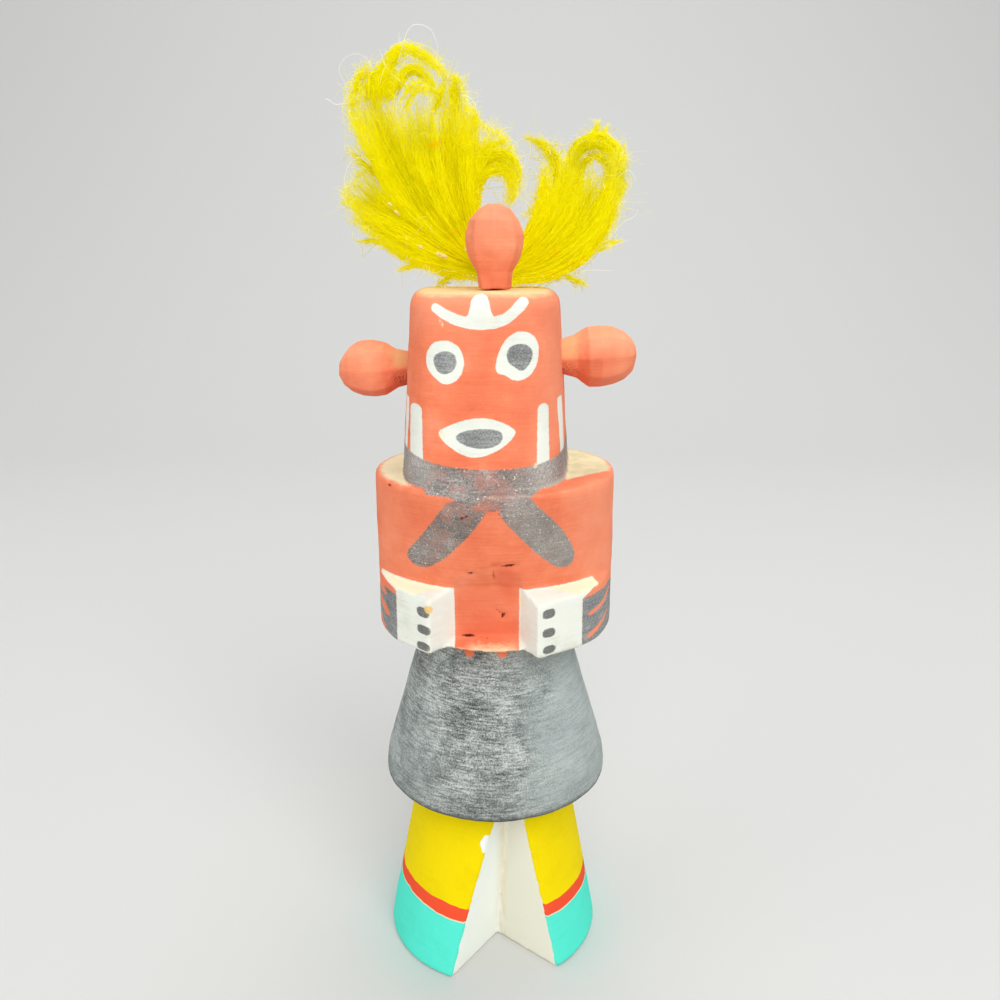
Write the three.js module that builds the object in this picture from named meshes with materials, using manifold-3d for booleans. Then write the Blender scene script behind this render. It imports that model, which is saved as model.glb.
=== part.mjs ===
// A small carved and painted wooden doll with two ear knobs, a top knob and a crest of dyed fur.
// Millimetres, +Z up. The doll looks along -Y, and the origin is on its underside, on the axis of
// the round stick that its body, kilt and legs are cut from.

import * as THREE from 'three';
import { mergeVertices } from 'three/addons/utils/BufferGeometryUtils.js';
import Module from 'manifold-3d';

const wasm = await Module();
wasm.setup();

// ---- driving dimensions ----

const stickRadius = 25.2;
const glueGap = 0.3;            // left between pieces that are glued face to face
const softEdge = 0.8;           // how far sharp rims are worn back
const roundSides = 72;

const legs = { centreX: -0.6, footRadius: 24.3, kneeRadius: 16.7, top: 40.9 };
const kilt = { rimRadius: 24.8, rimHeight: 4.6, waistRadius: 15.5, top: 77.5 };
const torso = { bottom: kilt.top, top: 111.4 };

// The V that parts the legs: its inner line leans, and its two faces open at these angles from -Y.
const frontSplit = { footValley: [0.4, -8.3], topValley: [3, -13.6], leftFace: 36, rightFace: 51 };
const backSplit = { footValley: [-0.5, 15.5], topValley: [-0.5, 12.5], leftFace: 38, rightFace: 38 };

// The chest is pared back below the neck, down to the ledge that the hands' tops make.
const chest = { pareRadius: 29.4, pareCentre: 9.6, ledge: 90.6, ledgeSlope: 0.42 };

// The hands are what stands proud on both sides of a panel cut in between them.
const panel = {
  left: -8.2, right: 5, top: 96.4, floorTop: 21.3, floorAtLedge: 18.4, floorBottom: 16.2,
  bottom: 79.3, lipRadius: 22.3,
};
const hands = { leftRidge: -31.2, rightRidge: 19.8, leftOuter: -53, rightOuter: 44 };

const head = {
  centreX: -2, top: 148, rootDepth: 0.8, halfDepth: 22, topHalfDepth: 21, backShift: -0.6,
  halfWidth: 17.3, topHalfWidth: 14.9, squareness: 4.2, topRounding: 3.2, narrowing: 0.0052,
};

const earLeft = {
  height: 132.2, sideX: -18, reach: 13.9, ballRadius: 5.95, sides: 9, tilt: -2,
};
const earRight = {
  height: 134.3, sideX: 14.5, reach: 14.3, ballRadius: 6.35, sides: 9, tilt: 3,
};
const topKnob = {
  centre: [0, -8], reach: 15.8, ballRadius: 5.55, sides: 8,
};
// Where each row of knife cuts ends, as a share of the knob's reach, and the share of the ball's
// radius that is left there.
const earCuts = [[0, 0.44], [0.13, 0.57], [0.3, 0.93], [0.47, 1], [0.66, 0.96], [0.81, 0.79], [0.93, 0.52]];
const knobCuts = [[0, 0.58], [0.2, 0.66], [0.33, 0.9], [0.47, 1], [0.63, 1], [0.8, 0.86], [0.92, 0.56]];

// The crest is one tuft whose locks fan out to two lobes. Tips lie round each lobe's oval.
const crest = { rootHalfWidth: 6, centreY: 5.4, rootHeight: 150.8, lockSides: 7, lockSteps: 9 };
const leftLobe = {
  centre: [-14, 171], half: [17, 23], lean: 20, from: 199, to: -32, locks: 16, lockRadius: 3.7,
  depth: 4.6, wave: 1.1,
};
const rightLobe = {
  centre: [17, 166], half: [9.2, 14.2], lean: -15, from: -54, to: 172, locks: 11, lockRadius: 3.1,
  depth: 3.8, wave: 0.9,
};

// ---- turning geometries into solids and back ----

const radians = THREE.MathUtils.degToRad;

// A closed geometry as a solid, without the collapsed triangles that a pole leaves.
function solidOf(geometry) {
  const bare = geometry.clone();
  bare.deleteAttribute('normal');
  bare.deleteAttribute('uv');
  const merged = mergeVertices(bare, 1e-4);
  const corners = merged.index.array;
  const triVerts = [];
  for (let i = 0; i < corners.length; i += 3) {
    const [a, b, c] = [corners[i], corners[i + 1], corners[i + 2]];
    if (a !== b && b !== c && c !== a) triVerts.push(a, b, c);
  }
  return new wasm.Manifold(new wasm.Mesh({
    numProp: 3,
    vertProperties: new Float32Array(merged.attributes.position.array),
    triVerts: new Uint32Array(triVerts),
  }));
}

function geometryOf(solid) {
  const mesh = solid.getMesh();
  const geometry = new THREE.BufferGeometry();
  geometry.setAttribute('position', new THREE.BufferAttribute(mesh.vertProperties, 3));
  geometry.setIndex(new THREE.BufferAttribute(mesh.triVerts, 1));
  geometry.computeVertexNormals();
  return geometry;
}

// Rings of points joined by walls, with a flat fan over the first and the last ring.
function loft(rings) {
  const points = rings.flat();
  const sides = rings[0].length;
  const middleOf = (ring) => ring.reduce((sum, p) => sum.add(p), new THREE.Vector3())
    .divideScalar(ring.length);
  points.push(middleOf(rings[0]), middleOf(rings[rings.length - 1]));
  const firstMiddle = points.length - 2;
  const lastMiddle = points.length - 1;
  const lastRing = (rings.length - 1) * sides;
  const faces = [];
  for (let side = 0; side < sides; side += 1) {
    const next = (side + 1) % sides;
    for (let ring = 0; ring < rings.length - 1; ring += 1) {
      const low = ring * sides;
      const high = low + sides;
      faces.push(low + side, low + next, high + next, low + side, high + next, high + side);
    }
    faces.push(firstMiddle, next, side, lastMiddle, lastRing + side, lastRing + next);
  }
  const geometry = new THREE.BufferGeometry();
  geometry.setFromPoints(points);
  geometry.setIndex(faces);
  return geometry;
}

// A surface of revolution round +Z from [radius, height] pairs listed from the bottom up.
function turned(profile, sides = roundSides) {
  const geometry = new THREE.LatheGeometry(profile.map(([r, h]) => new THREE.Vector2(r, h)), sides);
  return geometry.rotateX(Math.PI / 2);
}

function box(low, high) {
  const size = high.map((value, axis) => value - low[axis]);
  const geometry = new THREE.BoxGeometry(...size);
  return geometry.translate(...low.map((value, axis) => value + size[axis] / 2));
}

// ---- the carved figure ----

// The two legs before they are parted. They stand a little to one side of the kilt's middle.
function legCone() {
  const overlap = 2;
  return solidOf(turned([
    [0, 0], [legs.footRadius - 0.5, 0], [legs.footRadius, 0.6], [legs.kneeRadius, legs.top],
    [legs.kneeRadius, legs.top + overlap], [0, legs.top + overlap],
  ]).translate(legs.centreX, 0, 0));
}

function kiltAndTorsoProfile() {
  const coneStart = kilt.rimHeight + legs.top;
  return [
    [0, legs.top],
    [kilt.rimRadius - softEdge, legs.top],
    [kilt.rimRadius, legs.top + softEdge],
    [kilt.rimRadius, coneStart - 2],
    [kilt.rimRadius - 0.35, coneStart + 0.8],
    [kilt.rimRadius - 1.3, coneStart + 4],
    [kilt.waistRadius, torso.bottom],
    [stickRadius - 0.5, torso.bottom],
    [stickRadius, torso.bottom + 0.5],
    [stickRadius, torso.top - softEdge],
    [stickRadius - 0.25, torso.top - 0.25],
    [stickRadius - softEdge, torso.top],
    [0, torso.top],
  ];
}

// A wedge from under the foot to the kilt: a triangle in plan that slides along the valley line.
function splitWedge(split, facing) {
  const opening = 40;
  const below = -5;
  const ringAt = (height) => {
    const along = height / legs.top;
    const x = THREE.MathUtils.lerp(split.footValley[0], split.topValley[0], along);
    const y = THREE.MathUtils.lerp(split.footValley[1], split.topValley[1], along);
    const corner = (angle) => new THREE.Vector3(
      x + opening * Math.sin(radians(angle)), y + facing * opening * Math.cos(radians(angle)), height,
    );
    const ring = [new THREE.Vector3(x, y, height), corner(-split.leftFace), corner(split.rightFace)];
    return facing < 0 ? ring : ring.reverse();
  };
  return solidOf(loft([ringAt(below), ringAt(legs.top)]));
}

// What is left of the chest: round sections that grow flatter and slide back on the way down to
// the ledge, and below it the hands' tops, which fall as they spread outwards.
function paredChest() {
  const spread = 12;
  const rootRadius = stickRadius + 0.2;
  const ringAt = (height, radius, centre) => Array.from({ length: roundSides }, (_, side) => {
    const turn = (2 * Math.PI * side) / roundSides;
    return new THREE.Vector3(radius * Math.cos(turn), centre + radius * Math.sin(turn), height);
  });
  return solidOf(loft([
    ringAt(chest.ledge - spread * chest.ledgeSlope, chest.pareRadius + spread, chest.pareCentre),
    ringAt(chest.ledge, chest.pareRadius, chest.pareCentre),
    ringAt(torso.top, rootRadius, 0),
  ]));
}

function chestCut() {
  const outside = stickRadius + 6;
  const low = chest.ledge - 4;
  const air = box([-outside, -outside, low], [outside, outside, torso.top]);
  return solidOf(air).subtract(paredChest());
}

// The panel between the hands: a floor that falls back on the way down, and sides that flare out
// to the hands' ridges. A low cone is left standing in it, whose slope is the lip over the kilt.
function panelCut() {
  const front = -stickRadius - 6;
  const low = torso.bottom - 3;
  const sideOf = (cornerX, ridgeAngle, floor, height) => {
    const ridgeX = stickRadius * Math.sin(radians(ridgeAngle));
    const ridgeY = -stickRadius * Math.cos(radians(ridgeAngle));
    return [[cornerX, -floor], [ridgeX, ridgeY], [ridgeX, front]]
      .map(([x, y]) => new THREE.Vector3(x, y, height));
  };
  const ringAt = (height, floor) => [
    ...sideOf(panel.left, hands.leftRidge, floor, height),
    ...sideOf(panel.right, hands.rightRidge, floor, height).reverse(),
  ];
  const ledgeHeight = chest.ledge + 0.3;
  const handSteps = 5;
  const handRings = Array.from({ length: handSteps + 1 }, (_, step) => ringAt(
    THREE.MathUtils.lerp(panel.bottom, ledgeHeight, step / handSteps),
    THREE.MathUtils.lerp(panel.floorBottom, panel.floorAtLedge, step / handSteps),
  ));
  const lipRise = (panel.bottom - torso.bottom) / (panel.lipRadius - panel.floorBottom);
  const lip = solidOf(turned([
    [0, low - 1], [panel.lipRadius + (torso.bottom - low) / lipRise, low - 1],
    [panel.lipRadius + (torso.bottom - low) / lipRise, low], [0, torso.bottom + panel.lipRadius * lipRise],
  ]));
  const rings = [ringAt(low, panel.floorBottom), ...handRings, ringAt(panel.top, panel.floorTop)];
  return solidOf(loft(rings)).subtract(lip);
}

// A flat that squares a hand's outer face, from its ridge to its outer edge, below the ledge.
function handFlat(ridgeAngle, outerAngle) {
  const outside = stickRadius + 6;
  const at = (angle, radius, height) => new THREE.Vector3(
    radius * Math.sin(radians(angle)), -radius * Math.cos(radians(angle)), height,
  );
  const ringAt = (height) => {
    const ring = [
      at(ridgeAngle, stickRadius - 0.05, height), at(outerAngle, stickRadius - 0.05, height),
      at(outerAngle, outside, height), at(ridgeAngle, outside, height),
    ];
    return ridgeAngle < outerAngle ? ring.reverse() : ring;
  };
  return solidOf(loft([ringAt(torso.bottom - 1), ringAt(chest.ledge + 1)]));
}

// One section of the head: a squared oval that is narrower in front than behind.
function headRing(height, inset) {
  const up = (height - torso.top) / (head.top - torso.top);
  const halfWidth = THREE.MathUtils.lerp(head.halfWidth, head.topHalfWidth, up) - inset;
  const halfDepth = THREE.MathUtils.lerp(head.halfDepth, head.topHalfDepth, up) - inset;
  const rootOf = (value) => Math.sign(value) * Math.abs(value) ** (2 / head.squareness);
  return Array.from({ length: roundSides }, (_, side) => {
    const turn = (2 * Math.PI * side) / roundSides;
    const y = halfDepth * rootOf(Math.sin(turn));
    const x = halfWidth * rootOf(Math.cos(turn)) * (1 + head.narrowing * y);
    return new THREE.Vector3(head.centreX + x, head.backShift + y, height);
  });
}

function carvedHead() {
  const roundingSteps = 4;
  const roundingStart = head.top - head.topRounding;
  const rings = [headRing(torso.top - head.rootDepth, 0), headRing(roundingStart, 0)];
  for (let step = 1; step <= roundingSteps; step += 1) {
    const turn = (Math.PI / 2) * (step / roundingSteps);
    const height = roundingStart + head.topRounding * Math.sin(turn);
    rings.push(headRing(height, head.topRounding * (1 - Math.cos(turn))));
  }
  return solidOf(loft(rings));
}

function carvedFigure() {
  const cuts = [
    splitWedge(frontSplit, -1), splitWedge(backSplit, 1), chestCut(), panelCut(),
    handFlat(hands.leftRidge, hands.leftOuter), handFlat(hands.rightRidge, hands.rightOuter),
  ];
  const turnedStick = solidOf(turned(kiltAndTorsoProfile())).add(legCone());
  const body = cuts.reduce((rest, cut) => rest.subtract(cut), turnedStick);
  return geometryOf(body.add(carvedHead()));
}

// ---- the knobs ----

// A knife-cut knob that stands on +Z: a neck that widens to a ball with a blunt end.
function knobGeometry(knob, cuts, room = 0) {
  const rows = cuts.map(([up, share]) => [knob.ballRadius * share + room, knob.reach * up]);
  const blunt = knob.ballRadius * 0.22;
  return turned([[0, 0], ...rows, [blunt + room, knob.reach + room], [0, knob.reach + room]], knob.sides);
}

function earMesh(name, ear, side) {
  const geometry = knobGeometry(ear, earCuts).rotateY(side * Math.PI / 2);
  const mesh = named(name, geometryOf(solidOf(geometry)), paints.coral);
  mesh.position.set(ear.sideX + side * glueGap, 0, ear.height);
  mesh.rotation.y = -side * radians(ear.tilt);
  return mesh;
}

// ---- the fur crest ----

// A repeatable spread between 0 and 1 for the n-th lock.
const spread = (n, step) => (n * step) % 1;

// One lock: a wavy tapered tube along a bent line from the glued root to its tip.
function lockOf(root, bend, tip, radius, wave) {
  const line = new THREE.QuadraticBezierCurve3(root, bend, tip);
  const rings = [];
  for (let step = 0; step <= crest.lockSteps; step += 1) {
    const along = step / crest.lockSteps;
    const across = new THREE.Vector3(0, 1, 0).cross(line.getTangent(along)).normalize();
    const middle = line.getPoint(along)
      .addScaledVector(across, wave * along * Math.sin(3 * Math.PI * along));
    const size = radius * (0.06 + 0.94 * Math.sin(Math.PI * (0.2 + 0.79 * along)) ** 0.7);
    rings.push(Array.from({ length: crest.lockSides }, (_, side) => {
      const turn = (2 * Math.PI * side) / crest.lockSides;
      return middle.clone().addScaledVector(across, size * Math.cos(turn))
        .add(new THREE.Vector3(0, size * 0.8 * Math.sin(turn), 0));
    }));
  }
  return solidOf(loft(rings));
}

function lobeLocks(lobe, rootSide) {
  return Array.from({ length: lobe.locks }, (_, n) => {
    const share = n / (lobe.locks - 1);
    const turn = radians(THREE.MathUtils.lerp(lobe.from, lobe.to, share));
    const reach = 1 - 0.15 * spread(n, 0.618);
    const deep = crest.centreY + lobe.depth * (2 * spread(n, 0.382) - 1);
    const tip = new THREE.Vector3(
      lobe.half[0] * reach * Math.cos(turn), 0, lobe.half[1] * reach * Math.sin(turn),
    );
    tip.applyAxisAngle(new THREE.Vector3(0, 1, 0), -radians(lobe.lean));
    tip.add(new THREE.Vector3(lobe.centre[0], deep + 0.8, lobe.centre[1]));
    const bend = new THREE.Vector3(
      THREE.MathUtils.lerp(lobe.centre[0], tip.x, 0.7), deep,
      Math.min(lobe.centre[1] - lobe.half[1] * 0.45, tip.z - 2),
    );
    const root = new THREE.Vector3(
      rootSide * crest.rootHalfWidth * (0.95 * spread(n, 0.47) - 0.15),
      crest.centreY + 0.6 * (deep - crest.centreY), crest.rootHeight,
    );
    return lockOf(root, bend, tip, lobe.lockRadius, lobe.wave * (n % 2 === 0 ? 1 : -1));
  });
}

function furCrest() {
  const locks = [...lobeLocks(leftLobe, -1), ...lobeLocks(rightLobe, 1)];
  const tuft = locks.reduce((whole, lock) => whole.add(lock));
  const floor = head.top + glueGap;
  const headRoom = box([-60, -60, floor - 30], [60, 60, floor]);
  const knobRoom = knobGeometry(topKnob, knobCuts, glueGap * 2).translate(...topKnob.centre, floor);
  const trimmed = tuft.subtract(solidOf(headRoom)).subtract(solidOf(knobRoom));
  const [largest] = trimmed.decompose().sort((a, b) => b.volume() - a.volume());
  return geometryOf(largest);
}

// ---- paints, names and the finished doll ----

const paints = {
  coral: new THREE.MeshStandardMaterial({ color: 0xf0845f, roughness: 0.85, metalness: 0 }),
  fur: new THREE.MeshStandardMaterial({ color: 0xdfd412, roughness: 0.95, metalness: 0 }),
};

function named(name, geometry, material) {
  const mesh = new THREE.Mesh(geometry, material);
  mesh.name = name;
  return mesh;
}

function topKnobMesh() {
  const mesh = named('top_knob', geometryOf(solidOf(knobGeometry(topKnob, knobCuts))), paints.coral);
  mesh.position.set(...topKnob.centre, head.top + glueGap);
  return mesh;
}

const doll = new THREE.Group();
doll.add(
  named('carved_figure', carvedFigure(), paints.coral),
  earMesh('ear_left', earLeft, -1),
  earMesh('ear_right', earRight, 1),
  topKnobMesh(),
  named('fur_crest', furCrest(), paints.fur),
);

export default doll;
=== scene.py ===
import math

import bpy
import numpy as np
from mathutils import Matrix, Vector


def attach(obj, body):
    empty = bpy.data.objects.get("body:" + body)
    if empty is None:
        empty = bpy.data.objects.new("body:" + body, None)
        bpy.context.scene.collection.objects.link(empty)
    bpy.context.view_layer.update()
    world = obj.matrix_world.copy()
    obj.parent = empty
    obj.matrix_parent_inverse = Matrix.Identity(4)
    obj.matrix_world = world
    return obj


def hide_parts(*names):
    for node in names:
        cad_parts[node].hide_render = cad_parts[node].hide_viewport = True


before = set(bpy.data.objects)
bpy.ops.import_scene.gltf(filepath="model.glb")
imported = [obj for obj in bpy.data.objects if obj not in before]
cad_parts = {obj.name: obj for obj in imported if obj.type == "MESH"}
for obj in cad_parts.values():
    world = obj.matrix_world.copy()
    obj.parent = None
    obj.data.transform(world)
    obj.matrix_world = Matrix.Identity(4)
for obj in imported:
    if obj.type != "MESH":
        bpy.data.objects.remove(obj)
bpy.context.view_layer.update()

mm = 0.001
scene = bpy.context.scene
scene.view_settings.view_transform = "Standard"


def report(stage):
    print("doll:", stage)


def dropSelection():
    bpy.ops.object.select_all(action="DESELECT")


def activate(piece):
    dropSelection()
    piece.select_set(True)
    bpy.context.view_layer.objects.active = piece


def applyModifier(piece, kind, **settings):
    activate(piece)
    modifier = piece.modifiers.new(kind.lower(), kind)
    for name, value in settings.items():
        setattr(modifier, name, value)
    bpy.ops.object.modifier_apply(modifier=modifier.name)


studio = {
    "cameraPlace": (1.05 * mm, -186.5 * mm, 155.0 * mm),
    "cameraPitch": 15.37,            # degrees down
    "lens": 32.4,
    "sensor": 36,
    "nearClip": 5 * mm,
    "floorSize": 2.4,
    "wallHeight": 1.6,
    "sweep": 0.7,                    # the bend between table and wall
    "sweepSteps": 24,
    "floorRoughness": 0.85,
    "floorColor": (0.60, 0.60, 0.585, 1),
    "worldColor": (0.80, 0.82, 0.84, 1),
    "worldStrength": 0.56,
}
lamps = {
    # name: place, watts, size, aimed at
    "frontLamp": ((0.35, -1.1, 1.15), 18.5, 1.2, (0, 0, 0.11)),
    "leftLamp": ((-1.3, -0.6, 0.55), 5.2, 1.2, (0, 0, 0.09)),
    "topLamp": ((0.1, 0.35, 1.3), 8.0, 1.0, (0, 0, 0.14)),
}


def makeStudio():
    bpy.ops.object.camera_add(location=studio["cameraPlace"],
                              rotation=(math.radians(90 - studio["cameraPitch"]), 0, 0))
    camera = bpy.context.object
    camera.data.lens = studio["lens"]
    camera.data.sensor_width = studio["sensor"]
    camera.data.clip_start = studio["nearClip"]
    scene.camera = camera
    for name, (place, watts, size, target) in lamps.items():
        bpy.ops.object.light_add(type="AREA", location=place)
        lamp = bpy.context.object
        lamp.name = name
        lamp.data.energy = watts
        lamp.data.size = size
        aim = Vector(target) - Vector(place)
        lamp.rotation_euler = aim.to_track_quat("-Z", "Y").to_euler()
    world = bpy.data.worlds.new("paleRoom")
    world.use_nodes = True
    background = world.node_tree.nodes["Background"]
    background.inputs["Color"].default_value = studio["worldColor"]
    background.inputs["Strength"].default_value = studio["worldStrength"]
    scene.world = world
    makeFloor()


def makeFloor():
    # a table top whose far edge sweeps up behind the doll
    dropSelection()
    bpy.ops.mesh.primitive_plane_add(size=studio["floorSize"], location=(0, 0, 0))
    floor = bpy.context.object
    floor.name = "tableTop"
    points = floor.data.vertices
    farEdge = max(floor.data.edges, key=lambda edge: sum(points[index].co.y for index in edge.vertices))
    for part in (*floor.data.polygons, *floor.data.edges, *points):
        part.select = False
    farEdge.select = True
    for index in farEdge.vertices:
        points[index].select = True
    bpy.ops.object.mode_set(mode="EDIT")
    bpy.ops.mesh.select_mode(type="EDGE")
    bpy.ops.mesh.extrude_region_move(TRANSFORM_OT_translate={"value": (0, 0, studio["wallHeight"])})
    bpy.ops.object.mode_set(mode="OBJECT")
    applyModifier(floor, "BEVEL", width=studio["sweep"], segments=studio["sweepSteps"],
                  limit_method="ANGLE")
    floor.data.shade_smooth()
    finish = bpy.data.materials.new("tableFinish")
    finish.use_nodes = True
    shader = finish.node_tree.nodes["Principled BSDF"]
    shader.inputs["Base Color"].default_value = studio["floorColor"]
    shader.inputs["Roughness"].default_value = studio["floorRoughness"]
    floor.data.materials.append(finish)
    return floor


makeStudio()
report("studio is set")


class ShaderDesk:
    # short calls that add a node, wire its inputs and hand back its output

    def __init__(self, tree):
        self.tree = tree

    def add(self, kind, **settings):
        node = self.tree.nodes.new(kind)
        for name, value in settings.items():
            setattr(node, name, value)
        return node

    def feed(self, socket, value):
        if isinstance(value, bpy.types.NodeSocket):
            self.tree.links.new(value, socket)
        elif value is not None:
            socket.default_value = value

    def math(self, operation, first, second=None, clamp=False):
        node = self.add("ShaderNodeMath", operation=operation, use_clamp=clamp)
        self.feed(node.inputs[0], first)
        self.feed(node.inputs[1], second)
        return node.outputs[0]

    def vector(self, operation, first, second):
        node = self.add("ShaderNodeVectorMath", operation=operation)
        self.feed(node.inputs[0], first)
        self.feed(node.inputs[1], second)
        return node.outputs[0]

    def noise(self, point, scale, detail=3.0, rough=0.55, twist=0.0):
        node = self.add("ShaderNodeTexNoise")
        self.feed(node.inputs["Vector"], point)
        self.feed(node.inputs["Scale"], scale)
        self.feed(node.inputs["Detail"], detail)
        self.feed(node.inputs["Roughness"], rough)
        self.feed(node.inputs["Distortion"], twist)
        return node.outputs["Fac"]

    def ramp(self, value, low, high, toLow=0.0, toHigh=1.0):
        node = self.add("ShaderNodeMapRange", interpolation_type="SMOOTHSTEP")
        for name, number in zip(("Value", "From Min", "From Max", "To Min", "To Max"),
                                (value, low, high, toLow, toHigh)):
            self.feed(node.inputs[name], number)
        return node.outputs["Result"]

    def times(self, first, *others):
        for other in others:
            first = self.math("MULTIPLY", first, other)
        return first

    def plus(self, first, second):
        return self.math("ADD", first, second)

    def less(self, first, second):
        return self.math("SUBTRACT", first, second)

    def most(self, first, *others):
        for other in others:
            first = self.math("MAXIMUM", first, other)
        return first

    def gap(self, value, centre):
        return self.math("ABSOLUTE", self.less(value, centre))

    def mix(self, share, under, over):
        node = self.add("ShaderNodeMix", data_type="RGBA")
        self.feed(node.inputs[0], share)
        self.feed(node.inputs[6], under)
        self.feed(node.inputs[7], over)
        return node.outputs[2]

    def attribute(self, name):
        return self.add("ShaderNodeAttribute", attribute_name=name).outputs["Fac"]

    def use(self, group, **values):
        node = self.add("ShaderNodeGroup")
        node.node_tree = group
        for name, value in values.items():
            self.feed(node.inputs[name], value)
        return node


def groupDesk(name, inputs, outputs):
    # a node group with named sockets; colours are given as 4 numbers, values as 1, points as None
    group = bpy.data.node_groups.new(name, "ShaderNodeTree")
    kinds = {tuple: "NodeSocketColor", float: "NodeSocketFloat", type(None): "NodeSocketVector"}
    for label, start in inputs.items():
        socket = group.interface.new_socket(label, in_out="INPUT", socket_type=kinds[type(start)])
        if start is not None:
            socket.default_value = start
    for label, start in outputs.items():
        group.interface.new_socket(label, in_out="OUTPUT", socket_type=kinds[type(start)])
    desk = ShaderDesk(group)
    given = desk.add("NodeGroupInput").outputs
    return group, desk, given, desk.add("NodeGroupOutput").inputs


def makePaintEdge():
    # turns a distance in millimetres, negative inside a mark, into the mark's hand-painted mask
    group, desk, given, out = groupDesk(
        "paintEdge",
        {"Point": None, "Distance": 0.0, "Wobble": 0.35, "Soft": 0.12, "Scale": 900.0},
        {"Mask": 0.0})
    drift = desk.less(desk.noise(given["Point"], given["Scale"], 4.0, 0.6), 0.5)
    edge = desk.plus(given["Distance"], desk.times(drift, given["Wobble"]))
    desk.feed(out["Mask"], desk.ramp(edge, desk.times(given["Soft"], -1.0), given["Soft"], 1.0, 0.0))
    return group


def makeBrushCoat():
    # one coat of brushed paint: brush lines round the stick, dusty high spots and dark specks
    group, desk, given, out = groupDesk(
        "brushCoat",
        {"Point": None, "Paint": (1.0, 1.0, 1.0, 1.0), "Pale": (1.0, 1.0, 1.0, 1.0),
         "Deep": (0.0, 0.0, 0.0, 1.0), "Streaks": 0.3, "Patches": 0.3, "Specks": 0.0,
         "Shortness": 150.0},
        {"Color": (1.0, 1.0, 1.0, 1.0), "Height": 0.0})
    stretch = desk.add("ShaderNodeCombineXYZ")
    for socket, scale in zip(stretch.inputs, (given["Shortness"], given["Shortness"], 2400.0)):
        desk.feed(socket, scale)
    lines = desk.noise(desk.vector("MULTIPLY", given["Point"], stretch.outputs[0]), 1.0, 5.0, 0.62, 0.35)
    fine = desk.noise(desk.vector("MULTIPLY", given["Point"], (500.0, 500.0, 5200.0)), 1.0, 3.0, 0.6)
    patches = desk.noise(given["Point"], 130.0, 4.0, 0.6)
    grain = desk.noise(given["Point"], 3000.0, 2.0, 0.7)
    # one signed tone: above zero turns to the pale paint, below zero to the deep one
    parts = []
    for noise, amount, gain in ((lines, "Streaks", 4.0), (patches, "Patches", 4.0), (grain, "Specks", 6.0)):
        parts.append(desk.times(desk.less(noise, 0.5), gain, given[amount]))
    tone = desk.plus(desk.plus(parts[0], parts[1]), parts[2])
    color = desk.mix(desk.math("MULTIPLY", tone, 1.0, clamp=True), given["Paint"], given["Pale"])
    color = desk.mix(desk.math("MULTIPLY", tone, -1.0, clamp=True), color, given["Deep"])
    desk.feed(out["Color"], color)
    height = desk.plus(desk.times(lines, 0.6), desk.times(fine, 0.3))
    desk.feed(out["Height"], desk.plus(height, desk.times(grain, 0.25)))
    return group


paintEdge = makePaintEdge()
brushCoat = makeBrushCoat()


class PaintDesk(ShaderDesk):
    # a material's desk, with the point being painted and its place in millimetres

    def __init__(self, tree):
        super().__init__(tree)
        self.point = self.add("ShaderNodeTexCoord").outputs["Object"]
        split = self.add("ShaderNodeSeparateXYZ")
        self.feed(split.inputs[0], self.vector("MULTIPLY", self.point, (1 / mm, 1 / mm, 1 / mm)))
        self.across, self.depth, self.up = split.outputs

    def cloud(self, scale, detail=3.0, rough=0.55):
        return self.noise(self.point, scale, detail, rough)

    def coat(self, name, shortness=150.0):
        streaks, patches, specks = coats[name]
        node = self.use(brushCoat, Point=self.point, Paint=paints[name],
                        Pale=paints.get(name + "Pale", paints[name]), Deep=paints[name + "Deep"],
                        Streaks=streaks, Patches=patches, Specks=specks, Shortness=shortness)
        return node.outputs["Color"], node.outputs["Height"]

    def mask(self, layer):
        wobble, soft, scale = markEdges[layer]
        node = self.use(paintEdge, Point=self.point, Distance=self.attribute(layer), Wobble=wobble,
                        Soft=soft, Scale=scale)
        return node.outputs["Mask"]

    def over(self, color, layer, paint, strength=1.0):
        return self.mix(self.times(self.mask(layer), strength), color, paint)

    def edges(self, *span):
        # grows on the piece's outer edges
        return self.ramp(self.add("ShaderNodeNewGeometry").outputs["Pointiness"], *span)

    def patch(self, strength, *fades):
        # a soft patch; each fade is a value or a direction, with where it starts and where it is full
        for value, start, end in fades:
            value = getattr(self, value) if isinstance(value, str) else value
            strength = self.times(self.ramp(value, start, end), strength)
        return strength

    def tint(self, color, tones):
        # each tone is its strength, its paint and its fades
        for strength, paint, *fades in tones:
            color = self.mix(self.patch(strength, *fades), color, paints[paint])
        return color


def newFinish(name, roughness, shine=0.25):
    material = bpy.data.materials.new(name)
    material.use_nodes = True
    shader = material.node_tree.nodes["Principled BSDF"]
    shader.inputs["Roughness"].default_value = roughness
    shader.inputs["Specular IOR Level"].default_value = shine
    return material, PaintDesk(material.node_tree), shader


def bumpInto(desk, shader, height, strength, distance):
    bump = desk.add("ShaderNodeBump")
    bump.inputs["Strength"].default_value = strength
    bump.inputs["Distance"].default_value = distance
    desk.feed(bump.inputs["Height"], height)
    desk.feed(shader.inputs["Normal"], bump.outputs["Normal"])


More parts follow.
